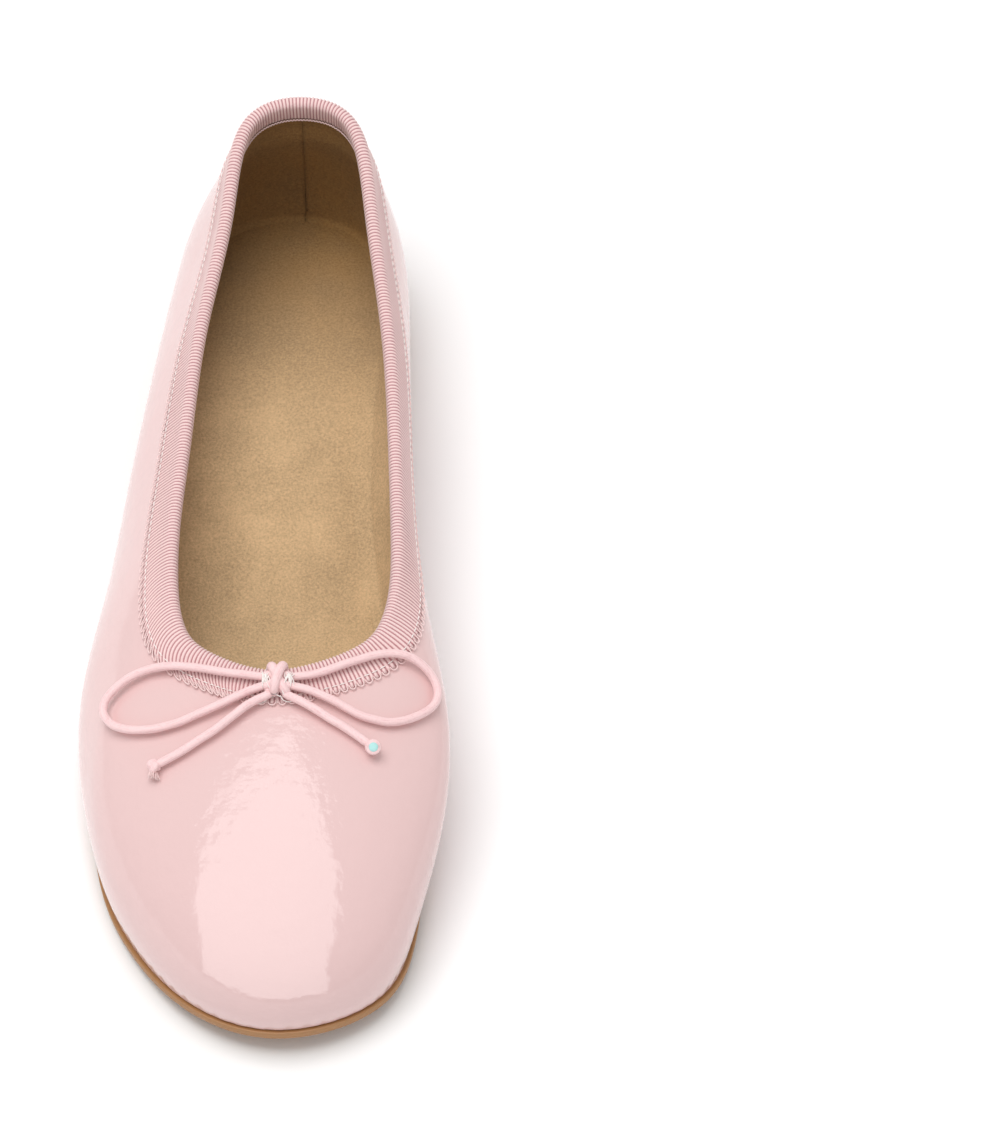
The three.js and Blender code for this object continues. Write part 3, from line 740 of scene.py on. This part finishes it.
def given():
    """The sizes, in millimetres, and the colours that the scene holds."""
    scene = bpy.context.scene
    sizes, colours = scene.slipper_sizes, scene.slipper_colours
    measures = {key: getattr(sizes, key) / MM for key in SlipperSizes.__annotations__}
    return measures, {key: tuple(getattr(colours, key)) for key in SlipperColours.__annotations__}


PAINTS = {}
PATTERNED = {
    "patent": (patent_paint, "patent"), "ribbon": (ribbon_paint, "rib", "groove"),
    "cord": (cord_paint, "cord", "cord_shade"), "suede": (suede_paint, "suede", "suede_shade"),
    "stack": (stacked_paint, "sole"),
}


def paint(name):
    """The named material, made once: a patterned one, or a grain with its material's name, colour,
    grain size, contrast, roughness, relief and uniform values."""
    if name not in PAINTS:
        colours = given()[1]
        yarn = (0.0002, 0.12, 0.6, 0.00005, [("Sheen Weight", 0.2)])
        grains = {
            "sole": ("sole_leather", colours["sole"], 0.0009, 0.14, 0.42, 0.00008),
            "rubber": ("heel_rubber", (0.17, 0.075, 0.035), 0.0006, 0.2, 0.6, 0.0001),
            "thread": ("thread", colours["thread"], *yarn),
            "picot": ("picot_yarn", tint(colours["rib"], 1.05), *yarn),
            "core": ("elastic_core", colours["core"], 0.0002, 0.1, 0.5, 0.00003),
            "board": ("pressed_board", (0.61, 0.49, 0.31), 0.0012, 0.12, 0.85, 0.0001),
            "cork": ("cork_sheet", (0.37, 0.21, 0.085), 0.0011, 0.45, 0.9, 0.0002),
            "foam": ("sock_foam", (0.8, 0.74, 0.6), 0.0005, 0.1, 0.9, 0.0002),
            "steel": ("shank_steel", (0.35, 0.36, 0.38), 0.0007, 0.1, 0.3, 0.00002, [("Metallic", 1.0)]),
            "fibre": ("stiffener_fibre", (0.68, 0.6, 0.46), 0.0009, 0.18, 0.9, 0.0002),
            "elastic": ("topline_elastic", (0.86, 0.82, 0.76), 0.0003, 0.1, 0.8, 0.0001),
        }
        if name in PATTERNED:
            maker, *keys = PATTERNED[name]
            PAINTS[name] = maker(*(colours[key] for key in keys))
        else:
            PAINTS[name] = grained_paint(*grains[name])
    return PAINTS[name]


# ---------------- the pieces
class BowCords(Operator):
    """Makes the bow's loops and tails, each a cord from the knot on a body of its own"""

    bl_idname = "slipper.bow_cords"
    bl_label = "Bow Cords"

    def execute(self, context):
        radius = given()[0]["cord_radius"]
        for side, length, tip in (("lateral", 0.092, "end_fray"), ("medial", 0.086, "end_core")):
            tail, _ = bow_cord(f"tail_{side}", f"bow_tail_{side}", radius, 1.5)
            knot = self.end_knot(side, f"end_knot_{side}", radius)
            on_it = [tail, knot, self.tip(side, f"{tip}_{side}")]
            loop, path = bow_cord(f"loop_{side}", f"bow_loop_{side}", radius, EXTEND)
            2 * radius * MM
        return {"FINISHED"}

    def end_knot(self, side, name, radius):
        """The outer tail ends in an overhand knot: a closed tube round a trefoil line over a ball of
        cord. The inner one ends in a ball with a raised rim round its cut end, as a lathe about the
        line its end faces along: its outline goes up the ball, over the rim and into the hollow."""
        route = np.array(ROUTES[f"tail_{side}"], float)
        shape = Shape()
        if side == "medial":
            middle, facing = self.cut_end(route)
            turn = np.linspace(0.15, 0.72 * np.pi, 12)
            out = np.concatenate([np.sin(turn) * BALL_RADIUS, RIM[:, 0]])
            up = np.concatenate([-np.cos(turn) * BALL_HEIGHT, RIM[:, 1]])
            rings = tube(middle + up[:, None] * facing, out, 24, SIDEWAYS)
            shape.add(rings, "poles", cord_uv(len(up), 24, 0.2))
        else:
            path, ahead = overhand(route)
            shape.add(closed_tube(path, radius * 0.8, 14), "joined", cord_uv(len(path), 14, 0.2))
            turn = np.linspace(0.08, np.pi - 0.08, 16)
            stem = path.mean(0) - np.cos(turn)[:, None] * ahead * 1.35
            shape.add(tube(stem, np.sin(turn) * 1.2, 16), "poles", cord_uv(16, 16, 0.2))
        return shape.piece(name, "cord", "cord", f"tail_knot_{side}", body=BODIES[f"tail_{side}"])

    def cut_end(self, route):
        """The middle of the inner tail's end, and the way its cut face looks: up and to the front."""
        ahead = unit(route[-1] - route[-2])
        return route[-1] + ahead * 2.5, unit(np.array([0.1, -0.55, 0.8]))

    def tip(self, side, name):
        """What shows past the knot: the cut core at one tail, and a fray of fine yarns at the other."""
        route = np.array(ROUTES[f"tail_{side}"], float)
        body = BODIES[f"tail_{side}"]
        if side == "medial":
            middle, facing = self.cut_end(route)
            core = middle + facing * np.linspace(CORE_FOOT, CORE_TOP, 7)[:, None]
            points = tube(core, CORE_RADIUS * rounded_ends(7, 2), 24, SIDEWAYS)
            return Shape().add(points, "poles").piece(name, "core", "elastic", body=body)
        middle, down = overhand(route)[0].mean(0), unit(np.array([-0.15, -1.0, -0.35]))
        across = unit(np.cross(down, UP))
        over = np.cross(across, down)
        rng = np.random.default_rng(7)
        spread = rng.normal(0, 0.42, (FRAY_YARNS, 1, 2))
        t = np.linspace(0, 1, 6)[None, :, None]
        length = rng.uniform(1.2, 2.2, (FRAY_YARNS, 1, 1))
        paths = (middle + down * (0.9 + length * t) + across * spread[..., :1] * (0.7 + t * 1.1)
                 + over * spread[..., 1:] * (0.6 + t * 0.9))
        points = tube(paths, YARN_RADIUS * rounded_ends(6, 1), 4, over)
        return Shape().add(points, "poles").piece(name, "picot", "cord", body=body)


class BowKnot(Operator):
    """Makes the knot in the middle of the bow: two slanting turns of cord over the crossed cords"""

    bl_idname = "slipper.bow_knot"
    bl_label = "Bow Knot"

    def execute(self, context):
        radius = given()[0]["cord_radius"]
        shape = Shape()
        turns = [
            # the turn on top, from the inner side at the back to the outer side at the front
            [(1.5, -2.8, -1.4), (1.4, -3.35, 0.0), (1.1, -2.9, 1.2), (0.6, -1.5, 1.9), (0.1, 0.0, 2.05),
             (-0.35, 1.5, 1.8), (-0.65, 2.6, 1.0), (-0.7, 3.05, -0.1), (-0.55, 2.9, -1.4)],
            # the turn below it, the other way
            [(-1.6, -2.7, -1.4), (-1.5, -3.2, 0.0), (-1.25, -2.8, 1.1), (-0.8, -1.8, 1.45), (-0.1, -0.3, 0.9),
             (0.7, 1.0, 0.75), (1.4, 2.2, 0.5), (2.0, 3.0, -0.3), (2.1, 3.2, -1.4)],
            # the crossed cords inside
            [(-3.4, -0.9, -0.2), (-1.8, -1.1, 0.1), (0.0, 0.2, 0.1), (1.8, 1.4, 0.1), (3.4, 1.7, -0.3)],
            [(-3.4, 1.7, -0.3), (-1.8, 1.4, 0.1), (0.0, -0.2, -0.1), (1.8, -1.1, 0.1), (3.4, -0.9, -0.2)],
            # where the two tails part, under the front of the turns
            [(-3.0, 2.4, -0.9), (-1.4, 2.1, -0.7), (0.2, 2.0, -0.7), (1.6, 2.2, -0.7), (3.0, 2.6, -0.9)],
        ]
        for points, thicker in zip(turns, (WRAP, WRAP, 1, 1, 1)):
            path = curve_through(at_knot(points), 0.3)
            shape.add(*cord_shape(path, radius * thicker))
        shape.piece("bow_wrap", "cord", "cord", "bow_knot")
        return {"FINISHED"}


THREADS = 15                     # on each side of the knot


class TackThread(Operator):
    """Makes the pale thread that tacks the knot to the ribbon, in a loose cluster on each side"""

    bl_idname = "slipper.tack_thread"
    bl_label = "Tack Thread"

    def execute(self, context):
        radius = given()[0]["thread_radius"]
        rng = np.random.default_rng(11)
        ends = {
            "lateral": [
                [(-3.0, -0.6, 1.1), (-2.6, 1.0, 1.3), (-1.6, 2.9, 0.5), (-0.3, 3.9, -0.2), (0.8, 4.3, -0.6)],
                [(-1.6, 3.4, -1.2), (-2.6, 4.6, -1.9), (-4.0, 5.3, -2.2), (-5.3, 5.2, -2.3),
                 (-4.4, 4.6, -2.2)],
            ],
            "medial": [
                [(2.9, -0.8, 1.1), (2.3, 0.6, 1.5), (1.6, 2.0, 1.4), (1.3, 3.4, 0.7), (1.9, 4.4, -0.4)],
                [(0.7, 3.8, -0.9), (1.5, 4.7, -1.7), (2.9, 5.0, -1.9), (4.0, 4.6, -1.7), (2.6, 4.1, -1.3)],
            ],
        }
        for side, hand in (("lateral", -1), ("medial", 1)):
            turn = np.linspace(-0.15 * np.pi, 1.15 * np.pi, 17)[None]
            tilt = rng.uniform(-0.7, 0.7, (THREADS, 1))
            place = rng.uniform(1.9, 3.4, (THREADS, 1)) * hand
            reach = rng.uniform(1.3, 2.3, (THREADS, 1))
            wobble = rng.uniform(0, 2 * np.pi, (THREADS, 1))
            right = place + np.sin(2 * turn + wobble) * 0.3 + tilt * np.cos(turn)
            forward = -np.cos(turn) * reach + 0.1
            out = -0.5 + np.sin(turn) * rng.uniform(1.55, 2.0, (THREADS, 1))
            paths = at_knot(np.stack([right, forward, out], -1))
            shape = Shape().add(tube(paths, radius * rounded_ends(17, 1), 5), "poles")
            for points in ends[side]:
                path = curve_through(at_knot(points), 0.35)
                shape.add(tube(path, radius * rounded_ends(len(path), 1), 5), "poles")
            shape.piece(f"tack_{side}", "thread", "thread", f"tack_stitch_{side}")
        return {"FINISHED"}


def softly(points):
    """A slow unevenness of hand-lasted leather: three crossed sines of position, 1 at most."""
    x, y, z = (points[..., k] for k in range(3))
    waves = np.sin(x / 5.3 + y / 11.0), np.sin(y / 7.1 - z / 6.3 + 1.0), np.sin(x / 9.7 - z / 4.9 + 2.0)
    return (waves[0] + waves[1] + waves[2]) / 3


UPPER_RINGS, UPPER_RISE = 720, 90
CREASE_AT, CREASE_DEPTH = 14.75, 0.7   # the inner side's wrinkle: its station and its depth
FOLDS, FOLD_HEIGHT = 6, 0.2            # the toe's gathers: how many a station, and their height


class Upper(Operator):
    """Makes the patent upper: the outer wall and the margin lasted in under the insole"""

    bl_idname = "slipper.upper"
    bl_label = "Patent Upper"

    def execute(self, context):
        rings = UPPER_RINGS
        v = np.arange(rings) * COUNT / rings
        v = v - 0.18 * np.sin(v * 2 * np.pi / COUNT)
        downs = evenly(height(v) - 0.4, np.full(rings, UPPER_EDGE), UPPER_RISE)
        seam = np.exp(-(((v + 10) % COUNT - 10)[:, None] / 0.03) ** 2)
        wrinkle = np.exp(-((v[:, None] - CREASE_AT) / 0.10) ** 2 - ((downs - 15) / 7) ** 2)
        outer = skin(v[:, None], downs, 0)
        bulge = 0.10 * softly(outer) * smoothstep(downs, 8, 16)
        over_foot = height(v)[:, None] - downs
        toe_part = smoothstep(v, 5.8, 7.2) * (1 - smoothstep(v, 12.8, 14.2))
        gather = np.maximum(np.sin(2 * np.pi * FOLDS * v + 2 * np.sin(2.3 * v)), 0)
        gather = gather * (1 + 0.5 * np.sin(5.1 * v)) * toe_part
        folds = FOLD_HEIGHT * gather[:, None] * (1 - smoothstep(over_foot, 0.3, 4.5))
        outer = skin(v[:, None], downs, 0.25 * seam + CREASE_DEPTH * wrinkle + folds - bulge)
        inner_downs = evenly(np.full(rings, UPPER_EDGE), height(v) - 2.0, 14)
        inner = skin(v[:, None], inner_downs, UPPER_THICK)
        under = feather(v[:, None], [9, 6, 3, 0.6, 0.12], FEATHER + np.array([0, 0, 0, 0, 0.05]))
        over = feather(v[:, None], [3, 6, 9], FEATHER + UPPER_THICK)
        points = np.concatenate([under, outer, inner, over], 1)
        Shape().add(points, "joined").piece("patent_upper", "patent", "patent", "upper")
        return {"FINISHED"}


LINING_FOOT = 6.5                # how far above the feather line the lining turns in over the sock
SEAM, GAP = 17 / 3, 0.001        # where the vamp meets a quarter, in stations, and half their gap


def lining_depth(down):
    """How deep the lining's outer face lies: at the topline 1.5 mm, below the ribbon 2.6 mm."""
    return 1.5 + 1.1 * smoothstep(down, 7, 14)


def resampled(points, count):
    """Rows of points (rows, n, 3) at count even steps of their index, between their own points."""
    last = points.shape[1] - 1
    pick = np.linspace(0, last, count)
    low = np.floor(pick).astype(int)
    part = (pick - low)[None, :, None]
    return points[:, low] * (1 - part) + points[:, np.minimum(low + 1, last)] * part


class Lining(Operator):
    """Makes the three suede linings, each turned in under the sock along its foot"""

    bl_idname = "slipper.lining"
    bl_label = "Suede Lining"

    def execute(self, context):
        spans = {
            "suede_quarter_lateral": ("quarter_lining_lateral", 0, SEAM),
            "suede_vamp": ("vamp_lining", SEAM, COUNT - SEAM),
            "suede_quarter_medial": ("quarter_lining_medial", COUNT - SEAM, COUNT),
        }
        for name, (node, start, end) in spans.items():
            v = np.linspace(start + GAP, end - GAP, int((end - start) * 16))
            edge = np.minimum(v - start, end - v)[:, None]
            downs = evenly(np.full(len(v), UPPER_EDGE), height(v) - LINING_FOOT, 64)
            depth = lining_depth(downs)
            slack = 0.12 * softly(skin(v[:, None], downs, 2.5)) * smoothstep(downs, 10, 20)
            turned = 0.025 * (1 - smoothstep(edge, 0, 0.05))
            face = skin(v[:, None], downs, depth + 0.8 - turned - slack)
            back = skin(v[:, None], downs[:, ::4], depth[:, ::4])
            wall = skin(v, height(v) - LINING_FOOT, 3.4)
            corner = feather(v, 1.5, 8.9)
            toe = feather(v, 4.6, 8.5)
            t = np.linspace(0, 1, 9)[1:, None]
            turn_in = ((1 - t) ** 2 * wall[:, None] + 2 * (1 - t) * t * corner[:, None]
                       + t**2 * toe[:, None])
            face = np.concatenate([face, turn_in], 1)
            back = np.concatenate([turn_in[:, ::-1] - UP * 0.55, back[:, ::-1]], 1)
            # the two faces of a wall need as many points each, so its end closes straight across
            points = np.concatenate([face, resampled(back, face.shape[1])], 1)
            Shape().add(points, "walls").piece(name, "suede", "suede", node)
        return {"FINISHED"}


def disc(v, inset, rows):
    """A layer of the foot's outline. rows lists (scale, inset, lift): how far the outline is shrunk
    towards the middle line, how far it is set in first, and its height over the sole's underside."""
    return np.stack([drawn_in(feather(v, inset + extra), scale, lift) for scale, extra, lift in rows])


SHRINK = (0.02, 0.12, 0.24, 0.36, 0.48, 0.6, 0.7, 0.78, 0.85, 0.9, 0.94, 0.97)


class Sock(Operator):
    """Makes the padded suede sock that covers the insole, its edge eased down to the lining"""

    bl_idname = "slipper.sock"
    bl_label = "Sock"

    def execute(self, context):
        v = np.linspace(0, COUNT, 360, endpoint=False)
        top = COVER + 0.8
        edge = ((0.9, 0.02), (0.45, 0.12), (0.15, 0.35), (0, 0.7), (0.1, 0.95), (0.5, 1.0), (1.0, 0.85))
        rows = [(s, 0, top) for s in SHRINK] + [(1, extra, top - drop) for extra, drop in edge]
        rows += [(s, 0, COVER) for s in SHRINK[::-1]]
        points = disc(v, 3.4 - 0.22 * station(v)[:, 5], rows)
        Shape().add(points, "poles").piece("sock_cover", "suede", "suede", "sock")
        return {"FINISHED"}


PER_RIB = 5                      # rows of points for each rib
LOOP_YARN = 0.17                 # the radius of the yarn in the looped edges


class Ribbon(Operator):
    """Makes the ribbed ribbon folded over the topline, its looped edge and its row of stitches"""

    bl_idname = "slipper.ribbon"
    bl_label = "Topline Ribbon"

    def execute(self, context):
        sizes = given()[0]
        width, inside, pitch = sizes["ribbon_width"], sizes["ribbon_inside"], sizes["rib_pitch"]
        ribs = int(round(topline_steps(1)[1] / pitch))
        v, _ = topline_steps(ribs * PER_RIB)
        bends = [-BEAD_HALF - inside, -BEAD_HALF, BEAD_HALF, BEAD_HALF + width]
        parts = [np.linspace(*bends[k:k + 2], steps + 1)[:-1] for k, steps in enumerate((6, 10, 9))]
        s = np.concatenate([*parts, bends[3:]])
        phase = np.arange(len(v))[:, None] / PER_RIB
        rib = sizes["rib_height"] * np.cos(2 * np.pi * phase)
        edge = np.clip(np.minimum(s - s[0], s[-1] - s) / 0.5, 0, 1)
        face = ribbon_point(v[:, None], s[None], rib * edge + 0.1 * (edge - 1), width)
        back = ribbon_point(v[:, None], s[None, ::-3], -0.42, width)
        points = np.concatenate([face, back], 1)
        spots = np.concatenate([s, s[::-3], s[:1]])
        turns = np.arange(len(v) + 1)[:, None] / PER_RIB + 0.25
        uv = np.stack(np.broadcast_arrays(turns, spots[None]), -1)
        Shape().add(points, "joined", uv).piece("ribbon_band", "ribbon", "ribbon", "topline_ribbon")
        self.edge_loops(ribs // 2, width, "ribbon_picot", BEAD_HALF + width - 0.6, 1.25)
        self.edge_loops(ribs, width, "inner_picot", -BEAD_HALF - inside + 0.2, -0.55)
        self.stitches(sizes, ribs, "ribbon_stitches", BEAD_HALF + width - 1.5, COUNT / 2)
        return {"FINISHED"}

    def edge_loops(self, count, width, name, start, reach):
        """Loops of yarn side by side past the edge: cos a along and sin a out, a from 0 to 180."""
        v, length = topline_steps(count)
        speed = topline_frame(v)[3][:, None]
        a = np.linspace(0, np.pi, 7)[None]
        along = v[:, None] + np.cos(a) * 0.36 * length / count / speed
        s = start + np.sin(a) ** 0.6 * reach
        paths = ribbon_point(along, s, 0.2, width)
        out = unit(ribbon_point(v[:, None], s[:, 3:4], 1.0, width) - paths[:, 3:4])
        rings = tube(paths, LOOP_YARN, 4, out)
        Shape().add(rings, "poles").piece(name, "picot", "ribbon")

    def stitches(self, sizes, ribs, name, s, reach):
        """Short threads end to end along the ribbon, each a shallow arch, at s from the middle of
        its fold, as far round on both sides of the heel as reach stations."""
        v, length = topline_steps(ribs // 2)
        spacing = length / len(v)
        v = v[np.minimum(v, COUNT - v) <= reach]
        speed = topline_frame(v)[3][:, None]
        t = np.linspace(-1, 1, 7)[None]
        along = v[:, None] + t * 0.33 * spacing / speed
        width = sizes["ribbon_width"]
        paths = ribbon_point(along, s, 0.18 + 0.12 * (1 - t**2), width)
        out = unit(ribbon_point(v[:, None], s, 1.0, width) - paths[:, 3:4])
        rings = tube(paths, sizes["thread_radius"] * rounded_ends(7, 2), 5, out)
        Shape().add(rings, "poles").piece(name, "thread", "thread")


class Sole(Operator):
    """Makes the outsole, its edge rounded and its underside set off by a shallow groove"""

    bl_idname = "slipper.sole"
    bl_label = "Outsole"

    def execute(self, context):
        v = np.linspace(0, COUNT, 480, endpoint=False)
        edge = [(1.5, SOLE_THICK), (0.35, SOLE_THICK), (0.1, 2.93), (0, 2.75), (0, 2.0),
                (0.02, 1.2), (0.1, 0.6), (0.3, 0.25), (0.6, 0.06), (1.0, 0.0),
                (4.2, 0.0), (4.5, 0.3), (5.0, 0.3), (5.3, 0.0)]
        rows = [(s, 1.5, SOLE_THICK) for s in SHRINK] + [(1, inset, lift) for inset, lift in edge]
        rows += [(s, 5.3, 0.0) for s in SHRINK[::-1]]
        points = disc(v, -SOLE_PROUD, rows)
        Shape().add(points, "poles").piece("sole_edge", "sole", "sole_leather", "outsole")
        return {"FINISHED"}


def heel_outline(inset):
    """The heel's outline: the feather line behind the breast, set in, closed by the straight
    breast. Its corners are eased by averaging each point with the two beside it, (1, 2, 1) / 4."""
    line = feather(np.linspace(-3.4, 3.4, 240), inset)[:, :2]
    front = HEEL_BREAST + inset - 1.4
    line = line[line[:, 1] > front]
    ends = [np.array([line[k, 0], front]) for k in (0, -1)]
    back = np.linspace(0, 1, 60)[1:-1, None] * (ends[0] - ends[1]) + ends[1]
    closed = np.concatenate([ends[:1], line, ends[1:], back, ends[:1]])
    along = travelled(closed)
    outline = at_lengths(np.linspace(0, along[-1], 260, endpoint=False), along, closed)
    for _ in range(6):
        outline = (np.roll(outline, 1, 0) + 2 * outline + np.roll(outline, -1, 0)) / 4
    return outline


class Heel(Operator):
    """Makes the low heel: a built-up lift under the sole, and its rubber top piece on the floor"""

    bl_idname = "slipper.heel"
    bl_label = "Heel"

    def execute(self, context):
        self.block("heel_stack", "heel_lift", "stack", "sole_leather",
                   [(2.6, 2.9), (2.2, 3.0), (2.05, 3.3), (1.75, 5.5), (1.5, 8.2), (1.6, 8.6), (1.9, 8.75)])
        self.block("heel_tip", "heel_top_piece", "rubber", "heel_rubber",
                   [(3.3, 0.0), (2.85, 0.1), (2.7, 0.4), (2.6, 1.4), (2.6, 2.2), (2.7, 2.5), (3.0, 2.6)])
        return {"FINISHED"}

    def block(self, name, node, finish, slot, rows):
        """The outline at each inset and height, drawn in to its middle at the top and the bottom."""
        outlines = [heel_outline(inset) for inset, _ in rows]
        middle = outlines[0].mean(0)
        rings = [(outlines[0], share, rows[0][1]) for share in (0.03, 0.35, 0.7, 0.9)]
        rings += [(outline, 1, lift) for outline, (_, lift) in zip(outlines, rows)]
        rings += [(outlines[-1], share, rows[-1][1]) for share in (0.9, 0.7, 0.35, 0.03)]
        points = []
        for outline, share, lift in rings:
            flat = middle + (outline - middle) * share
            points.append(np.concatenate([flat, np.full((len(flat), 1), lift)], 1))
        Shape().add(np.stack(points), "poles").piece(name, finish, slot, node)


class Inside(Operator):
    """Gives the layers hidden inside the slipper their own finishes"""

    bl_idname = "slipper.inside"
    bl_label = "Hidden Layers"

    def execute(self, context):
        finishes = {
            "insole_board": "board", "quarter_backer_lateral": "board", "quarter_backer_medial": "board",
            "bottom_filler": "cork", "sock_foam": "foam", "shank": "steel", "heel_counter": "fibre",
            "toe_puff": "fibre", "topline_elastic": "elastic",
        }
        for node, name in finishes.items():
            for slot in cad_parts[node].material_slots:
                slot.material = paint(name)
        return {"FINISHED"}


# ---------------- the stage
ELEVATION, DISTANCE, LENS = math.radians(54), 1.4, 182.54
TARGET = Vector((0.0569, 0.004, 0.020))
FLOOR_HALF = 3.0
WORLD, SOFTBOX = 0.66, 2.7       # how bright the room and the softbox are
KEY_PLACE, KEY_SIZE, KEY_POWER = (-0.28, 0.05, 1.7), 1.1, 18.5
SOFTBOX_MIDDLE, SOFTBOX_RADIUS = (0.004, -0.09, 0.035), 2.0
SOFTBOX_TILT = (-21, 84)         # degrees forwards from the zenith
SOFTBOX_LEFT, SOFTBOX_RIGHT = 0.80, 0.52


class Stage(Operator):
    """Sets up the camera, the pale floor and the soft studio light"""

    bl_idname = "slipper.stage"
    bl_label = "Stage"

    def execute(self, context):
        scene = context.scene
        scene.view_settings.view_transform = "Standard"
        camera = bpy.data.cameras.new("camera")
        camera.lens, camera.sensor_width = LENS, 36
        camera.clip_start, camera.clip_end = 0.05, 20
        view = bpy.data.objects.new("camera", camera)
        back = Vector((0, -math.cos(ELEVATION), math.sin(ELEVATION)))
        view.location = TARGET + back * DISTANCE
        view.rotation_euler = back.to_track_quat("Z", "Y").to_euler()
        scene.collection.objects.link(view)
        scene.camera = view
        self.floor()
        world = bpy.data.worlds.new("studio")
        world.use_nodes = True
        world.node_tree.nodes["Background"].inputs["Color"].default_value = (1.0, 0.995, 0.99, 1)
        world.node_tree.nodes["Background"].inputs["Strength"].default_value = WORLD
        scene.world = world
        self.softbox()
        self.key_light(scene)
        return {"FINISHED"}

    def sheet(self, name, points, faces, finish, shades):
        """A surface of the stage. Where shades is False, only glossy pieces show its light."""
        mesh = bpy.data.meshes.new(name)
        mesh.from_pydata(points, [], faces)
        mesh.materials.append(finish)
        obj = bpy.data.objects.new(name, mesh)
        obj.visible_diffuse = shades
        bpy.context.scene.collection.objects.link(obj)

    def floor(self):
        """A flat square far wider than the view, just under the slipper."""
        corners = [(-1, -1), (1, -1), (1, 1), (-1, 1)]
        p = Paint("studio_floor")
        colour = given()[1]["floor"]
        tone = p.mix(p.noise(0.4, 2.0), tint(colour, 0.995), colour)
        finish = p.done({"Base Color": tone, "Roughness": 0.9, "Specular IOR Level": 0.1})
        points = [(x * FLOOR_HALF, y * FLOOR_HALF, -0.0002) for x, y in corners]
        self.sheet("floor", points, [(0, 1, 2, 3)], finish, True)

    def softbox(self):
        """What the gloss reflects: a sheet of a sphere round the toe, narrow at its back edge behind
        the zenith and wide at the front. At a tilt forwards from the zenith, its sides are at the
        widest times 1 - exp(-(tilt - start) / 20 degrees)."""
        rows, columns = 40, 25
        tilt = np.radians(np.linspace(*SOFTBOX_TILT, rows))[:, None]
        spread = 1 - np.exp(-(tilt - tilt[0]) / math.radians(20))
        side = np.linspace(-SOFTBOX_LEFT, SOFTBOX_RIGHT, columns)[None] * spread
        depth = np.sqrt(1 - side**2)
        away = np.stack([side, -depth * np.sin(tilt), depth * np.cos(tilt)], -1)
        points = (np.array(SOFTBOX_MIDDLE) + SOFTBOX_RADIUS * away).reshape(-1, 3)
        index = np.arange(len(points)).reshape(rows, columns)
        faces = np.stack([index[:-1, :-1], index[:-1, 1:], index[1:, 1:], index[1:, :-1]], -1)
        finish = Paint("softbox_glow").done({
            "Base Color": (0, 0, 0, 1), "Emission Color": (1.0, 0.99, 0.985, 1),
            "Emission Strength": SOFTBOX,
        })
        self.sheet("softbox", points.tolist(), faces.reshape(-1, 4).tolist(), finish, False)

    def key_light(self, scene):
        """The light that shades the slipper: a soft square above it, a little to its outer side."""
        light = bpy.data.lights.new("key", "AREA")
        light.shape, light.size, light.energy = "SQUARE", KEY_SIZE, KEY_POWER
        obj = bpy.data.objects.new("key", light)
        obj.location = KEY_PLACE
        obj.rotation_euler = (Vector(KEY_PLACE) - TARGET).to_track_quat("Z", "Y").to_euler()
        obj.visible_glossy = False
        scene.collection.objects.link(obj)


OPERATORS = (
    Stage, BowCords, BowKnot, TackThread, Upper, Lining, Sock, Ribbon, Sole, Heel, Inside,
)


class SLIPPER_PT_pieces(Panel):
    """Lists the steps that build the slipper, with its sizes and colours"""

    bl_label = "Ballet Slipper"
    bl_space_type = "VIEW_3D"
    bl_region_type = "UI"
    bl_category = "Slipper"

    def draw(self, context):
        for group in (context.scene.slipper_sizes, context.scene.slipper_colours):
            for key in type(group).__annotations__:
                self.layout.prop(group, key)
        for operator in OPERATORS:
            self.layout.operator(operator.bl_idname)


CLASSES = (SlipperSizes, SlipperColours, *OPERATORS, SLIPPER_PT_pieces)


def register():
    for cls in CLASSES:
        bpy.utils.register_class(cls)
    bpy.types.Scene.slipper_sizes = PointerProperty(type=SlipperSizes)
    bpy.types.Scene.slipper_colours = PointerProperty(type=SlipperColours)


def unregister():
    del bpy.types.Scene.slipper_colours
    del bpy.types.Scene.slipper_sizes
    for cls in reversed(CLASSES):
        bpy.utils.unregister_class(cls)


def main():
    """Builds the slipper and its stage."""
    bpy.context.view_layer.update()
    register()
    for operator in OPERATORS:
        family, step = operator.bl_idname.split(".")
        getattr(getattr(bpy.ops, family), step)()


if __name__ == "__main__":
    main()
